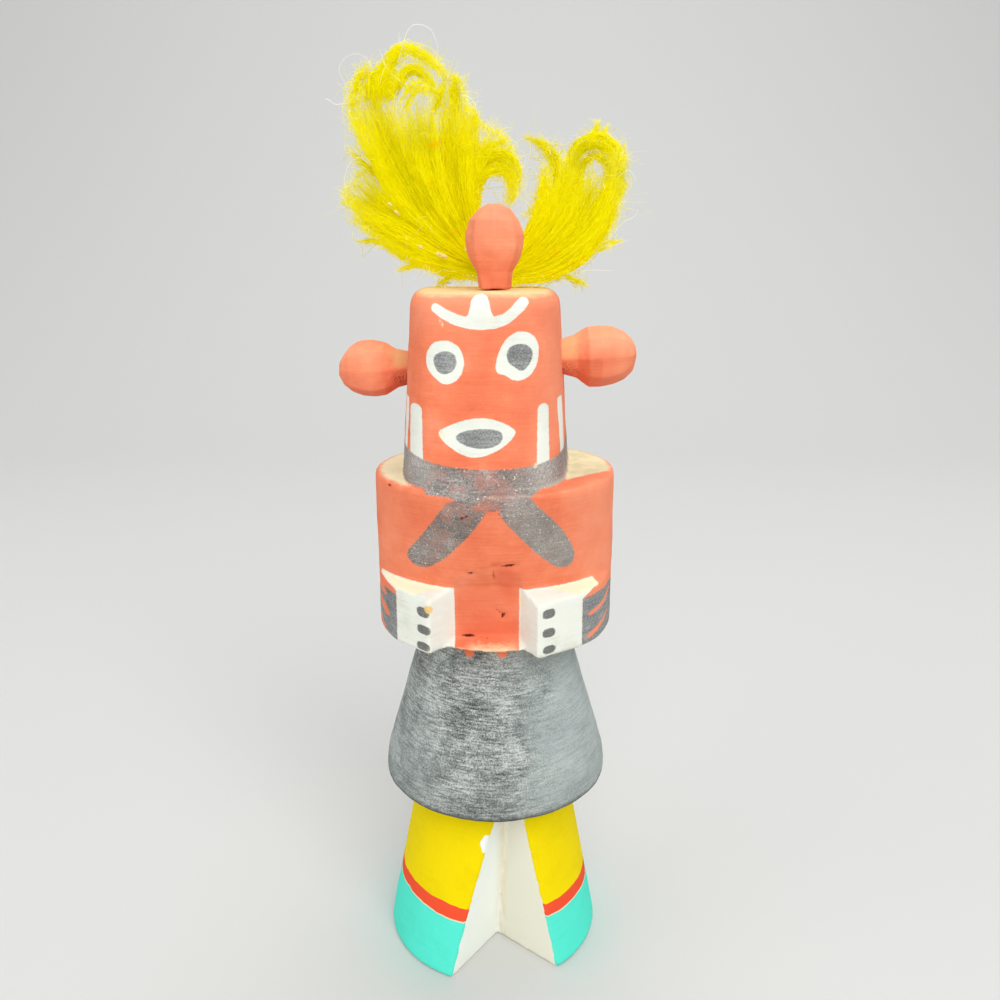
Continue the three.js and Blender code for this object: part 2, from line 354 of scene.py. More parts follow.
figureLook = {
    "voxel": 0.6 * mm,
    "waveSize": 11 * mm,             # broad knife and sanding waves
    "waveHeight": 0.2 * mm,
    "rippleSize": 2.6 * mm,
    "rippleHeight": 0.06 * mm,
    "hem": 40.9,                     # heights in millimetres
    "waist": 77.5,
    "shoulder": 111.4,
    "legCentre": -0.6,
    "footRadius": 24.3,
    "kneeRadius": 16.7,
}
markLook = {
    "frontEnds": -6,                 # marks seen from the front stop at this depth
    "cornerDepths": (-12.6, -13.6),  # the left and the right stripe on the head's corners
    "cornerStarts": (-15.9, 11.5),
    "stripeTop": 128.3,
    "stripeHalf": 2.1,
    "collarTop": 115.7,
    "collarRise": 0.0105,            # the collar rises towards the sides by this times their square
    "collarFootEnds": -12.5,
    "collarHems": [((-13.4, -20.9), (-0.874, -0.487)), ((8.6, -21.4), (0.873, -0.488))],
    "sleeveEdges": (-20, 17.6),
    "sleeveTop": 88.1,
    "sleeveFall": 0.8,               # the sleeves' tops slope down by this share behind sleeveBend
    "sleeveBend": -5,
    "sleeveEnds": 8,
    "hemWrap": (-1.2, 1),            # the kilt's paint goes round its hem
    "headTop": (0.86, 140),          # how level the bare top is at its edge, and where it starts
    "shoulders": (108.5, 114),
    "shoulderRadius": 24.2,
    "ledges": (86.5, 93),
    "ledgeFront": -18.4,
}

# Brush marks as seen from the front, in millimetres across and up. A stroke is a line of
# (across, up, half width) points; every outline is its corners, rounded off later.
brow = [(-10.6, 145.4, 0.8), (-9, 144.3, 0.92), (-7, 143.35, 0.98), (-4.7, 142.75, 1),
        (-2.4, 142.5, 1), (0, 142.75, 1), (2, 143.4, 1), (3.5, 144.6, 0.95),
        (4.6, 145.7, 1.05), (5.2, 146.3, 1)]
browTrunk = [(-5.5, 142.6), (-4.7, 143.9), (-4.4, 145.4), (-4.1, 146.8), (-3.3, 147.7), (-2.2, 147.9),
             (-1.2, 147.4), (-0.8, 146), (-0.5, 144.6), (0.4, 142.8)]
leftEye = [(-12.6, 136), (-12.3, 137.9), (-11.1, 139.2), (-9.4, 139.7), (-7.5, 139.4), (-6.1, 138.2),
           (-5.5, 136.2), (-5.6, 134.3), (-6.6, 132.5), (-8.4, 131.6), (-9.9, 131.9), (-11.2, 133.1),
           (-12.3, 134.4)]
leftPupil = [(-11.2, 136.5), (-10.2, 137.5), (-8.5, 137.8), (-7.1, 137.1), (-6.8, 135.5), (-7.4, 134.1),
             (-8.9, 133.4), (-10.2, 133.7), (-11, 135.1)]
rightEye = [(0.4, 135.8), (0.7, 137.4), (1.7, 139.4), (3.1, 140.8), (5.1, 141.4), (6.9, 140.8),
            (8, 139.4), (8.2, 137.4), (7.8, 135.1), (6.7, 133.3), (5.1, 132.4), (3.2, 132.5),
            (2.1, 133.4), (0.7, 133.6), (0.2, 134.4)]
rightPupil = [(2.1, 137.1), (2.6, 138.4), (4.1, 139.1), (5.9, 139), (7, 137.9), (7, 136.4),
              (6.2, 135), (5.1, 133.9), (4.1, 134.6), (2.6, 135.5)]
mouth = [(-10.7, 122.8), (-9, 123.8), (-6.5, 124.9), (-3.8, 125.5), (-1, 125.5), (1.6, 124.7),
         (3.5, 123.6), (4.2, 122.8), (3, 121.2), (1.3, 119.7), (-1.2, 118.5), (-3.6, 118),
         (-6, 118.5), (-8.1, 119.9), (-9.8, 121.3)]
mouthGap = [(-7.5, 121.7), (-6.4, 122.9), (-3.3, 123.5), (0.6, 123.4), (1.7, 122.3), (1.3, 120.8),
            (-0.7, 119.8), (-3.3, 119.7), (-5.7, 120.4)]
cheekLines = [
    [(-14.8, 126.4, 1.25), (-14.9, 112, 1.45)],
    [(9.1, 126.9, 1.05), (9.25, 112, 1.3)],
]
scarfOutlines = [
    # knot over the collar, then the two tails
    [(-9.2, 113), (-8.6, 110.4), (-5, 108.9), (-1.4, 108.2), (0.4, 108.2), (3.6, 109.6),
     (6.4, 111), (6.6, 113)],
    [(-8.4, 110.6), (-11, 106.5), (-14.4, 101.6), (-17.9, 96.9), (-17.3, 95.6), (-15.6, 94.5),
     (-13.5, 94.6), (-12, 95.5), (-9.7, 97.5), (-7.1, 100.2), (-4.7, 103.1), (-2.7, 106),
     (-1.2, 108.6)],
    [(0.2, 108.6), (2.4, 105.3), (4.9, 102.4), (7.8, 99), (10.5, 96.3), (12.6, 94.8), (14.4, 94.6),
     (15.6, 95.4), (16, 97.6), (14.1, 101.8), (11.8, 105.1), (8.6, 108.5), (6.1, 111.3)],
]
gloves = [
    [(-20.1, 76), (-20, 89), (-24, 90.3), (-23.8, 91), (-8.1, 90.7), (-8.1, 76)],
    [(17.7, 76), (17.6, 88.2), (20.2, 89.6), (20.4, 90.9), (4.9, 90.7), (4.9, 76)],
]
fingerDots = [
    # across, up, half width, half height
    (-14.2, 86.25, 1.35, 1.05), (-14.15, 82.5, 1.45, 0.95), (-14.3, 78.9, 1.4, 0.9),
    (10.65, 86.7, 1.25, 1), (10.7, 82.7, 1.3, 0.95), (10.8, 79.1, 1.3, 0.85),
]
gloveSmear = [(18, 90.2, 0.5), (20, 90.1, 0.5), (21, 89.8, 0.25)]
sleeveStripes = [
    [(-24.6, 88.2, 0.9), (-23.6, 87.2, 0.9), (-22.9, 86.8, 0.5)],
    [(-24.4, 84.6, 0.5), (-23.3, 83.5, 0.9), (-22.6, 82.7, 0.8)],
    [(-24.4, 80.4, 0.25), (-23.7, 78.5, 0.5), (-22.3, 77.5, 0.55)],
    [(19.4, 84.2, 0.45), (21.2, 84.6, 0.5), (22.8, 85.2, 0.45), (23.9, 86.6, 0.35)],
    [(19.2, 79.4, 0.5), (21.1, 80.1, 0.55), (22.6, 80.9, 0.4), (23.8, 82.2, 0.25)],
]
splitNotch = [(-1.9, 33.2, 0.5), (-2.4, 31.6, 0.9), (-2.3, 30, 0.4)]
lipDrips = [
    [(-5.2, 77.5, 1.9), (-5.3, 75.2, 0.9), (-5.1, 74.4, 0.3)],
    [(1.4, 77.5, 2.2), (1.6, 75.6, 1.2), (1.9, 74.9, 0.4)],
]

# Knife slips in the panel between the hands: start, end, half width and depth, in millimetres.
slips = [
    ((-0.2, 96.1), (4.2, 96), 0.5, 0.4),
    ((-0.1, 95.8), (0, 91.2), 0.45, 0.35),
    ((-5.6, 94.3), (-4.2, 94.1), 0.5, 0.35),
    ((0.1, 85.6), (2.2, 83.8), 0.6, 0.3),
    ((-6.6, 79.3), (-2.6, 79.3), 0.4, 0.35),
]
# dark lines along those slips and at two more spots: (across, up, half width) points
darkLineStrokes = [
    [(1.2, 96.1, 0.12), (3.2, 96.3, 0.3), (4, 96.4, 0.12)],
    [(-0.1, 95.8, 0.12), (-0.05, 93.6, 0.26), (0, 91.4, 0.1)],
    [(-5.6, 94.3, 0.15), (-4.5, 94.4, 0.3), (-4.1, 94.2, 0.1)],
    [(0.1, 85.7, 0.1), (1.2, 84.9, 0.22), (1.6, 83.8, 0.25), (2.2, 84.9, 0.1)],
    [(-6.8, 79.3, 0.2), (-5.2, 79.5, 0.35), (-3.8, 79.2, 0.2), (-1.4, 79.2, 0.08)],
    [(-6.4, 106.4, 0.2), (-5.2, 107.1, 0.22)],
    [(-21.5, 110.4, 0.12), (-20.6, 110.7, 0.2)],
]
# painted shade in the chip between the knife slips
panelShadePatch = [(0, 95.9), (4, 96), (4.2, 91.4), (3, 89.6), (0.2, 90.6)]
coralSmears = [
    [(-0.2, 116.7, 0.3), (-0.5, 115.2, 0.4), (-0.9, 113.6, 0.25)],
    [(-3.9, 108.9, 0.4), (-1.2, 109, 0.6), (0.6, 109.2, 0.3)],
]
paleNicks = [
    [(7.6, 116.3, 0.35), (7.9, 116.6, 0.35)],
    [(-9.8, 143.4, 0.2), (-9.3, 142.2, 0.25)],
    [(-9.9, 122.9, 0.4), (-9.2, 121.6, 0.3)],
    [(5.4, 88.7, 0.4), (5.3, 86.2, 0.2)],
]


def nearestOf(*distances):
    return np.minimum.reduce(distances)


def within(*distances):
    return np.maximum.reduce(distances)


def toSegment(across, up, start, end):
    # distance to a tapered stroke's piece, less its half width there
    (x0, z0, w0), (x1, z1, w1) = start, end
    lengthSquared = (x1 - x0) ** 2 + (z1 - z0) ** 2
    along = np.clip(((across - x0) * (x1 - x0) + (up - z0) * (z1 - z0)) / lengthSquared, 0, 1)
    gap = np.hypot(across - x0 - along * (x1 - x0), up - z0 - along * (z1 - z0))
    return gap - (w0 + along * (w1 - w0))


def strokeDistance(across, up, points):
    return nearestOf(*[toSegment(across, up, a, b) for a, b in zip(points, points[1:])])


def strokesDistance(across, up, strokes):
    return nearestOf(*[strokeDistance(across, up, stroke) for stroke in strokes])


def ovalDistance(across, up, centreX, centreZ, halfX, halfZ):
    share = np.cbrt(np.abs((across - centreX) / halfX) ** 3 + np.abs((up - centreZ) / halfZ) ** 3)
    return (share - 1) * min(halfX, halfZ)


def smoothPath(points, closed=False, rounds=3):
    # corners cut again and again until the path runs smooth
    path = np.array(points, float)
    for _ in range(rounds):
        ends = np.vstack([path, path[:1]]) if closed else path
        cuts = np.stack([ends[:-1] * 0.75 + ends[1:] * 0.25, ends[:-1] * 0.25 + ends[1:] * 0.75], axis=1)
        cuts = cuts.reshape(-1, path.shape[1])
        path = cuts if closed else np.vstack([path[:1], cuts[1:-1], path[-1:]])
    return path


def outlineDistance(across, up, corners, rounds=2):
    # signed distance to a closed outline, negative inside
    corners = smoothPath(corners, closed=True, rounds=rounds).tolist()
    nearest = np.full(across.shape, np.inf)
    inside = np.zeros(across.shape, bool)
    for (x0, z0), (x1, z1) in zip(corners, corners[1:] + corners[:1]):
        nearest = np.minimum(nearest, toSegment(across, up, (x0, z0, 0), (x1, z1, 0)))
        crosses = (z0 > up) != (z1 > up)
        if z0 != z1:
            inside ^= crosses & (across < x0 + (up - z0) * (x1 - x0) / (z1 - z0))
    return np.where(inside, -nearest, nearest)


def outlinesDistance(across, up, outlines, rounds=2):
    return nearestOf(*[outlineDistance(across, up, outline, rounds) for outline in outlines])


def paintDistances(points, normals):
    x, y, z = points.T
    look = {**figureLook, **markLook}
    facing = y - look["frontEnds"]                   # negative on the front
    # white brushwork of the face; the two outer cheek stripes run round the head's corners
    collarTop = look["collarTop"] + look["collarRise"] * (x + 1) ** 2
    fromCorner = y - np.where(x < 0, *look["cornerDepths"])
    left, right = look["cornerStarts"]
    corners = within(np.abs(fromCorner) - look["stripeHalf"], z - look["stripeTop"],
                     np.where(x < 0, x - left, right - x))
    face = nearestOf(strokeDistance(x, z, brow), strokesDistance(x, z, cheekLines), corners,
                     outlinesDistance(x, z, (browTrunk, leftEye, rightEye, mouth)))
    hands = nearestOf(outlinesDistance(x, z, gloves, 0), strokeDistance(x, z, gloveSmear))
    darks = nearestOf(outlinesDistance(x, z, (leftPupil, rightPupil, mouthGap)),
                      *[ovalDistance(x, z, *dot) for dot in fingerDots])

    collar = within(z - collarTop, look["shoulder"] + 0.45 - z)
    hems = [outX * (x - atX) + outY * (y - atY) for (atX, atY), (outX, outY) in look["collarHems"]]
    collarFoot = within(look["shoulder"] - 0.7 - z, *hems, y - look["collarFootEnds"], z - collarTop)
    scarf = nearestOf(within(outlinesDistance(x, z, scarfOutlines, 1), facing), collar, collarFoot)

    left, right = look["sleeveEdges"]
    sleeveTop = look["sleeveTop"] - look["sleeveFall"] * np.maximum(y - look["sleeveBend"], 0)
    sleeves = within(nearestOf(x - left, right - x), z - sleeveTop, y - look["sleeveEnds"],
                     look["waist"] - 0.6 - z, -strokesDistance(x, z, sleeveStripes))

    legRadius = look["footRadius"] + (look["kneeRadius"] - look["footRadius"]) * z / look["hem"]
    fromStick = np.hypot(x - look["legCentre"], y) - legRadius
    legs = within(z - look["hem"] + 0.25, fromStick - 0.7)
    splitFaces = nearestOf(within(legs, fromStick + 0.55),
                           within(legs, strokeDistance(x, z, splitNotch), facing))
    kilt = within(z - look["waist"] + 0.35, look["hem"] - 0.2 - z)
    below, above = look["hemWrap"]
    hemEdge = within(z - look["hem"] - above, look["hem"] + below - z, -0.5 - fromStick)
    kilt = within(nearestOf(kilt, hemEdge), -within(strokesDistance(x, z, lipDrips), facing))

    # upward faces that the coral never covered: head top and shoulders, then the hands' ledge
    level, above = look["headTop"]
    headTop = within((level - normals[:, 2]) * 4, above - z)
    sloping = 0.5 - normals[:, 2]
    low, high = look["shoulders"]
    shoulders = within(sloping * 2.2, low - z, z - high, np.hypot(x, y) - look["shoulderRadius"])
    shoulders = np.where(x > 0, within(shoulders, -6.1 - 0.9 * (21.7 - x) - y), shoulders)
    low, high = look["ledges"]
    return {
        "whitePaint": within(face, facing, collarTop - 0.5 - z),
        "glovePaint": within(hands, facing),
        "darkPaint": within(darks, facing),
        "scarfPaint": scarf,
        "sleevePaint": sleeves,
        "kiltPaint": kilt,
        "legPaint": legs,
        "splitPaint": splitFaces,
        "bareTop": nearestOf(headTop, shoulders),
        "ledgeTop": within(sloping * 1.6, low - z, z - high, look["ledgeFront"] - y),
        "darkLines": within(strokesDistance(x, z, darkLineStrokes), facing),
        "panelShadePatch": within(outlineDistance(x, z, panelShadePatch), facing),
        "smear": within(strokesDistance(x, z, coralSmears), facing),
        "nick": within(strokesDistance(x, z, paleNicks), facing),
    }


def carvedCopy(node, name):
    # a CAD node's mesh is loose triangles, so the copy's doubles are merged first
    piece = bpy.data.objects.new(name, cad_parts[node].data.copy())
    scene.collection.objects.link(piece)
    piece.data.materials.clear()
    activate(piece)
    bpy.ops.object.mode_set(mode="EDIT")
    bpy.ops.mesh.select_all(action="SELECT")
    bpy.ops.mesh.remove_doubles(threshold=0.002 * mm)
    bpy.ops.object.mode_set(mode="OBJECT")
    return piece


def readVectors(items, name):
    values = np.empty(len(items) * 3, np.float32)
    items.foreach_get(name, values)
    return values.reshape(-1, 3).astype(float)


def meshPoints(piece):
    return readVectors(piece.data.vertices, "co") / mm


def addLayer(mesh, name, values):
    layer = mesh.attributes.new(name, "FLOAT", "POINT")
    layer.data.foreach_set("value", values.astype(np.float32))


def giveWeights(piece, name, weights):
    group = piece.vertex_groups.new(name=name)
    for index in np.nonzero(weights > 0.01)[0]:
        group.add([int(index)], float(weights[index]), "REPLACE")
    return name


def roughen(piece, name, size, height, **settings):
    # pushes the surface in and out with soft noise
    texture = bpy.data.textures.new(name, "CLOUDS")
    texture.noise_scale = size
    applyModifier(piece, "DISPLACE", texture=texture, mid_level=0.5, strength=height * 2, **settings)


def makeFigure():
    look = figureLook
    guide = carvedCopy("carved_figure", "carvedGuide")
    piece = carvedCopy("carved_figure", "paintedFigure")
    applyModifier(piece, "REMESH", mode="VOXEL", voxel_size=look["voxel"])
    # the voxels round every edge off, so the points go back to the carved faces
    applyModifier(piece, "SHRINKWRAP", target=guide, wrap_method="NEAREST_SURFACEPOINT")
    applyModifier(piece, "SMOOTH", factor=0.35, iterations=2)
    bpy.data.objects.remove(guide)
    points = meshPoints(piece)
    x, y, z = points.T
    free = giveWeights(piece, "aboveTheFeet", np.clip(z / 3 - 0.2, 0, 1))
    roughen(piece, "broadWaves", look["waveSize"], look["waveHeight"], vertex_group=free)
    roughen(piece, "ripples", look["rippleSize"], look["rippleHeight"], vertex_group=free)
    for number, (start, end, half, depth) in enumerate(slips):
        gap = toSegment(x, z, (*start, half), (*end, half))
        weights = np.where(y < 0, np.clip(0.5 - gap, 0, 1), 0)
        cut = giveWeights(piece, "slip%d" % number, weights)
        applyModifier(piece, "DISPLACE", strength=-depth * mm, mid_level=0, vertex_group=cut)
    normals = readVectors(piece.data.vertex_normals, "vector")
    for name, distance in paintDistances(meshPoints(piece), normals).items():
        addLayer(piece.data, name, np.clip(distance, -20, 20))
    piece.vertex_groups.clear()
    piece.data.shade_smooth()
    return piece


def rgb(red, green, blue):
    # a paint's colour from its everyday 0 to 255 numbers
    channels = [value / 255 for value in (red, green, blue)]
    return tuple(c / 12.92 if c <= 0.04045 else ((c + 0.055) / 1.055) ** 2.4 for c in channels) + (1.0,)


paints = {
    "coral": rgb(240, 130, 92),
    "coralPale": rgb(250, 160, 126),
    "coralDeep": rgb(222, 100, 70),
    "panelShadePatch": rgb(226, 102, 72),
    "white": rgb(233, 235, 224),
    "whitePale": rgb(242, 241, 228),
    "whiteDeep": rgb(206, 206, 186),
    "slate": rgb(142, 144, 143),
    "slatePale": rgb(186, 186, 182),
    "slateDeep": rgb(92, 90, 88),
    "fingerDot": rgb(84, 82, 72),
    "scarf": rgb(137, 130, 126),
    "scarfPale": rgb(190, 184, 178),
    "scarfDeep": rgb(96, 86, 80),
    "scarfRose": rgb(190, 134, 118),
    "scarfLow": rgb(112, 98, 86),
    "scarfDusty": rgb(206, 202, 192),
    "scarfPaleRight": rgb(192, 196, 184),
    "scarfFleck": rgb(232, 226, 206),
    "kilt": rgb(140, 145, 142),
    "kiltPale": rgb(204, 208, 203),
    "kiltDeep": rgb(70, 73, 70),
    "kiltCalmLit": rgb(170, 180, 178),
    "kiltCalmLitPale": rgb(204, 208, 203),
    "kiltCalmLitDeep": rgb(142, 144, 143),
    "kiltLowShade": rgb(112, 114, 108),
    "kiltLipShade": rgb(96, 96, 92),
    "kiltHem": rgb(78, 80, 78),
    "yellow": rgb(243, 217, 0),
    "yellowDeep": rgb(226, 200, 0),
    "red": rgb(240, 84, 52),
    "turquoise": rgb(88, 232, 208),
    "turquoiseDeep": rgb(78, 216, 192),
    "split": rgb(244, 248, 240),
    "splitCreamy": rgb(230, 220, 190),
    "cream": rgb(240, 224, 184),
    "shoulder": rgb(222, 214, 172),
    "shoulderHighlight": rgb(255, 242, 204),
    "headTop": rgb(236, 198, 136),
    "gloveTop": rgb(241, 237, 202),
    "wornLip": rgb(248, 214, 172),
    "nick": rgb(244, 230, 190),
    "wood": rgb(222, 196, 150),
    "spiltDrop": rgb(240, 196, 116),
    "umber": rgb(96, 34, 22),
    "knob": rgb(243, 138, 100),
    "knobPale": rgb(252, 168, 130),
    "knobDeep": rgb(224, 106, 76),
    "knobEdgeRubAndHighlight": rgb(252, 182, 144),
    "knobCrownHighlight": rgb(255, 182, 142),
    "knobFootShade": rgb(228, 112, 82),
    "earRubbedAndLit": rgb(250, 188, 148),
    "earUnderShade": rgb(226, 108, 78),
    "glue": rgb(226, 182, 124),
    "neckUnderSpecks": rgb(150, 54, 40),
    "fur": rgb(206, 196, 0),
    "furMiddle": rgb(232, 222, 0),
    "furRoot": rgb(214, 168, 0),
    "furPale": rgb(238, 232, 40),
    "furTip": rgb(236, 232, 110),
    "furOlive": rgb(186, 178, 0),
    "furOrange": rgb(238, 176, 10),
    "furUndyed": rgb(226, 226, 206),
    "skin": rgb(226, 196, 96),
    "skinPale": rgb(246, 232, 160),
}
coats = {
    # paint: its brush streaks, its patches and its specks
    "coral": (0.25, 0.55, 0.08),
    "white": (0.25, 0.5, 0.1),
    "slate": (0.5, 0.4, 0.5),
    "scarf": (0.5, 0.8, 0.6),
    "kilt": (1.0, 0.75, 0.62),
    "kiltCalmLit": (0.6, 0.3, 0.3),
    "yellow": (0.25, 0.5, 0.0),
    "turquoise": (0.3, 0.4, 0.0),
    "knob": (0.25, 0.6, 0.1),
}
markEdges = {
    # layer: how far its edge wanders and how soft it is, in millimetres, and how finely it wanders
    "bareTop": (1.3, 0.8, 500.0),
    "legPaint": (0.2, 0.12, 900.0),
    "splitPaint": (0.9, 0.1, 600.0),
    "kiltPaint": (0.8, 0.15, 700.0),
    "sleevePaint": (0.5, 0.15, 900.0),
    "whitePaint": (0.35, 0.1, 900.0),
    "scarfPaint": (0.6, 0.2, 900.0),
    "ledgeTop": (0.8, 0.25, 500.0),
    "glovePaint": (0.35, 0.1, 900.0),
    "darkPaint": (0.35, 0.12, 900.0),
    "panelShadePatch": (1.6, 1.2, 500.0),
    "smear": (1.2, 0.7, 900.0),
    "nick": (0.5, 0.2, 900.0),
    "darkLines": (0.3, 0.14, 1500.0),
}
# A patch is its strength and its fades; a fade is a direction, and where along it the patch starts
# and where it is full, in millimetres. A tone has its paint's name after the strength.
# paler coral: thin paint, and painted highlight on the face's right side, upper head and shoulders
coralThinAndLit = [
    (0.55, ("across", 2, 15), ("up", 114, 122)),
    (0.45, ("up", 136, 148)),
    (0.5, ("across", 12, 22), ("up", 114, 110)),
    (0.2, ("across", -12, -22), ("up", 114, 110)),
]
# painted highlight on the left shoulder over its shade; the head's top warmer and darker
bareTones = [
    (0.7, "shoulderHighlight", ("across", -10, -20)),
    (0.6, "headTop", ("up", 138, 141)),
]
kiltLook = {
    "drift": 34.0,                   # how far the edges of the calm sides wander
    # the calm sides are smoother, and lighter with painted highlight, most on the right
    "calmLit": [(0.9, 0, 17), (0.4, -9, -20)],
    # painted shade: darker towards the bottom and under the waist's lip
    "tones": [(0.16, "kiltLowShade", ("up", 60, 44)), (0.16, "kiltLipShade", ("up", 64, 75))],
    "hem": (42.2, 40.7),
    "hemRagged": 1.6,
    "hemStrength": 0.8,
}
scarfLook = {
    "rosy": (0.44, 0.62, 0.0, 0.6),
    "knot": -4.5,
    "knotSpan": (3, 12, 1.0, 0.25),  # rosy near the knot, less so further off
    "dark": [(0.28, "scarfLow", ("up", 112, 104))],
    "dust": [(0.2, ("across", 0, 8)), (0.24, ("across", -8, -14), ("up", 111, 113))],
    "paleRight": [(0.7, "scarfPaleRight", ("across", 6, 12), ("up", 113.2, 112.2), ("up", 110.4, 111.2))],
    "flecks": (0.66, 0.72),
    "fleckStrength": 0.85,
}
splitLook = {
    "creamy": (0.5, ("across", -0.6, 1.8)),
    "runAt": 1.6,
    "runHalf": (1.3, 0.0),
    "runStrength": 0.45,
    "runGrain": (1500.0, 1500.0, 160.0),
}
legLook = {
    "lean": 0.038,                   # the bands rise to the right by this share
    "bow": 0.000888,                 # and their foot rises to the sides by this times their square
    "wander": 1.2,
    "redFoot": (16.75, 16.95),
    "creamTop": (13.8, 13.65),
    "creamFoot": (13.55, 13.4),
}
dropLook = {"across": -13.1, "up": 87.1, "edge": (1.0, 0.7), "strength": 0.9}
# paler edges: rubbed paint and painted highlight
edgeRubAndHighlightLook = {
    "edges": (0.53, 0.6),
    "patches": (0.38, 0.6),
    "upward": (42, 76, 0.1, 0.65),
}
# painted shade in the recessed panel between the hands
panelShadeLook = {
    "centre": -1.6,
    "halfWidth": (6.8, 5.4),
    "strength": 0.3,
    "fades": (("depth", -21.6, -20.2), ("depth", -8, -12), ("up", 79, 80.5), ("up", 93, 89)),
    "panelShadePatch": 0.5,
}
lipLook = {
    "centre": -0.5,
    "halfWidth": (6.4, 2.6),
    "strength": 0.85,
    "foot": (77.7, 78.3),
    "top": (79.6, 78.7),
    "front": ("depth", -15, -18),
    "ragged": 1.4,
}


def bareTone(desk):
    # the coral was never laid over the head's top and the shoulders
    color = desk.mix(desk.ramp(desk.cloud(300.0), 0.4, 0.62), paints["shoulder"], paints["cream"])
    # the left shoulder is lightened with painted highlight
    return desk.tint(color, bareTones)


def legTone(desk):
    # yellow, a red band with a pale lower edge and turquoise feet
    look = legLook
    yellow, _ = desk.coat("yellow")
    turquoise, _ = desk.coat("turquoise")
    height = desk.plus(desk.up, desk.times(desk.across, look["lean"]))
    height = desk.plus(height, desk.times(desk.cloud(160.0, 2.0), look["wander"]))
    color = desk.mix(desk.ramp(height, *look["redFoot"]), paints["red"], yellow)
    # the band thins towards the outer sides
    height = desk.less(height, desk.times(desk.across, desk.across, look["bow"]))
    color = desk.mix(desk.ramp(height, *look["creamTop"]), color, paints["cream"])
    return desk.mix(desk.ramp(height, *look["creamFoot"]), color, turquoise)


def splitTone(desk):
    # the right face of the split has gone creamy, with a yellowed run down the crease
    look = splitLook
    grain = desk.noise(desk.vector("MULTIPLY", desk.point, look["runGrain"]), 1.0)
    beside = (desk.gap(desk.across, look["runAt"]), *look["runHalf"])
    run = desk.patch(look["runStrength"], beside, (grain, 0.4, 0.6))
    return desk.mix(desk.plus(desk.patch(*look["creamy"]), run), paints["split"], paints["splitCreamy"])


def kiltTone(desk):
    # rubbed slate: rough in the middle, calm with painted highlight on the right, painted shade
    # low down and under the waist's lip, and dark along the hem
    look = kiltLook
    color, height = desk.coat("kilt", shortness=300.0)
    calmLit, _ = desk.coat("kiltCalmLit")
    drift = desk.times(desk.less(desk.cloud(90.0, 4.0, 0.6), 0.5), look["drift"])
    side = desk.plus(desk.across, drift)
    for strength, start, end in look["calmLit"]:
        color = desk.mix(desk.patch(strength, (side, start, end)), color, calmLit)
    color = desk.tint(color, look["tones"])
    ragged = desk.less(desk.up, desk.times(desk.cloud(500.0), look["hemRagged"]))
    return desk.tint(color, [(look["hemStrength"], "kiltHem", (ragged, *look["hem"]))]), height


def scarfTone(desk):
    look = scarfLook
    color, _ = desk.coat("scarf")
    rosy = desk.ramp(desk.cloud(300.0, 4.0, 0.65), *look["rosy"])
    rosy = desk.times(rosy, desk.ramp(desk.gap(desk.across, look["knot"]), *look["knotSpan"]))
    color = desk.tint(desk.mix(rosy, color, paints["scarfRose"]), look["dark"])
    # dusty on both tails, paler over the right shoulder, with pale flecks
    color = desk.mix(desk.most(*[desk.patch(*spot) for spot in look["dust"]]), color, paints["scarfDusty"])
    color = desk.tint(color, look["paleRight"])
    grain = (desk.cloud(1900.0, 2.0, 0.5), *look["flecks"])
    return desk.tint(color, [(look["fleckStrength"], "scarfFleck", grain)])


def addDrop(desk, color):
    # the spilt drop on the left hand's top dot
    aside, above = desk.less(desk.across, dropLook["across"]), desk.less(desk.up, dropLook["up"])
    away = desk.math("SQRT", desk.plus(desk.times(aside, aside), desk.times(above, above)))
    drop = desk.times(desk.patch(dropLook["strength"], (away, *dropLook["edge"])), desk.mask("glovePaint"))
    return desk.mix(drop, color, paints["spiltDrop"])


def addWearAndPaintedLight(desk, color):
    # paler along the edges: paint rubbed thin, and painted highlight
    look = edgeRubAndHighlightLook
    rubAndHighlight = desk.times(desk.edges(*look["edges"]), desk.ramp(desk.cloud(500.0, 4.0, 0.65), *look["patches"]),
                     desk.ramp(desk.up, *look["upward"]))
    color = desk.mix(rubAndHighlight, color, paints["cream"])
    # painted shade in the recessed panel between the hands, deepest in the chip between the knife slips
    look = panelShadeLook
    side = (desk.gap(desk.across, look["centre"]), *look["halfWidth"])
    color = desk.tint(color, [(look["strength"], "coralDeep", side, *look["fades"])])
    color = desk.over(color, "panelShadePatch", paints["panelShadePatch"], look["panelShadePatch"])
    # the lip under the panel is worn to the wood
    look = lipLook
    height = desk.plus(desk.up, desk.times(desk.cloud(700.0, 4.0, 0.7), look["ragged"]))
    side = (desk.gap(desk.across, look["centre"]), *look["halfWidth"])
    return desk.tint(color, [(look["strength"], "wornLip", side, (height, *look["foot"]),
                              (height, *look["top"]), look["front"])])


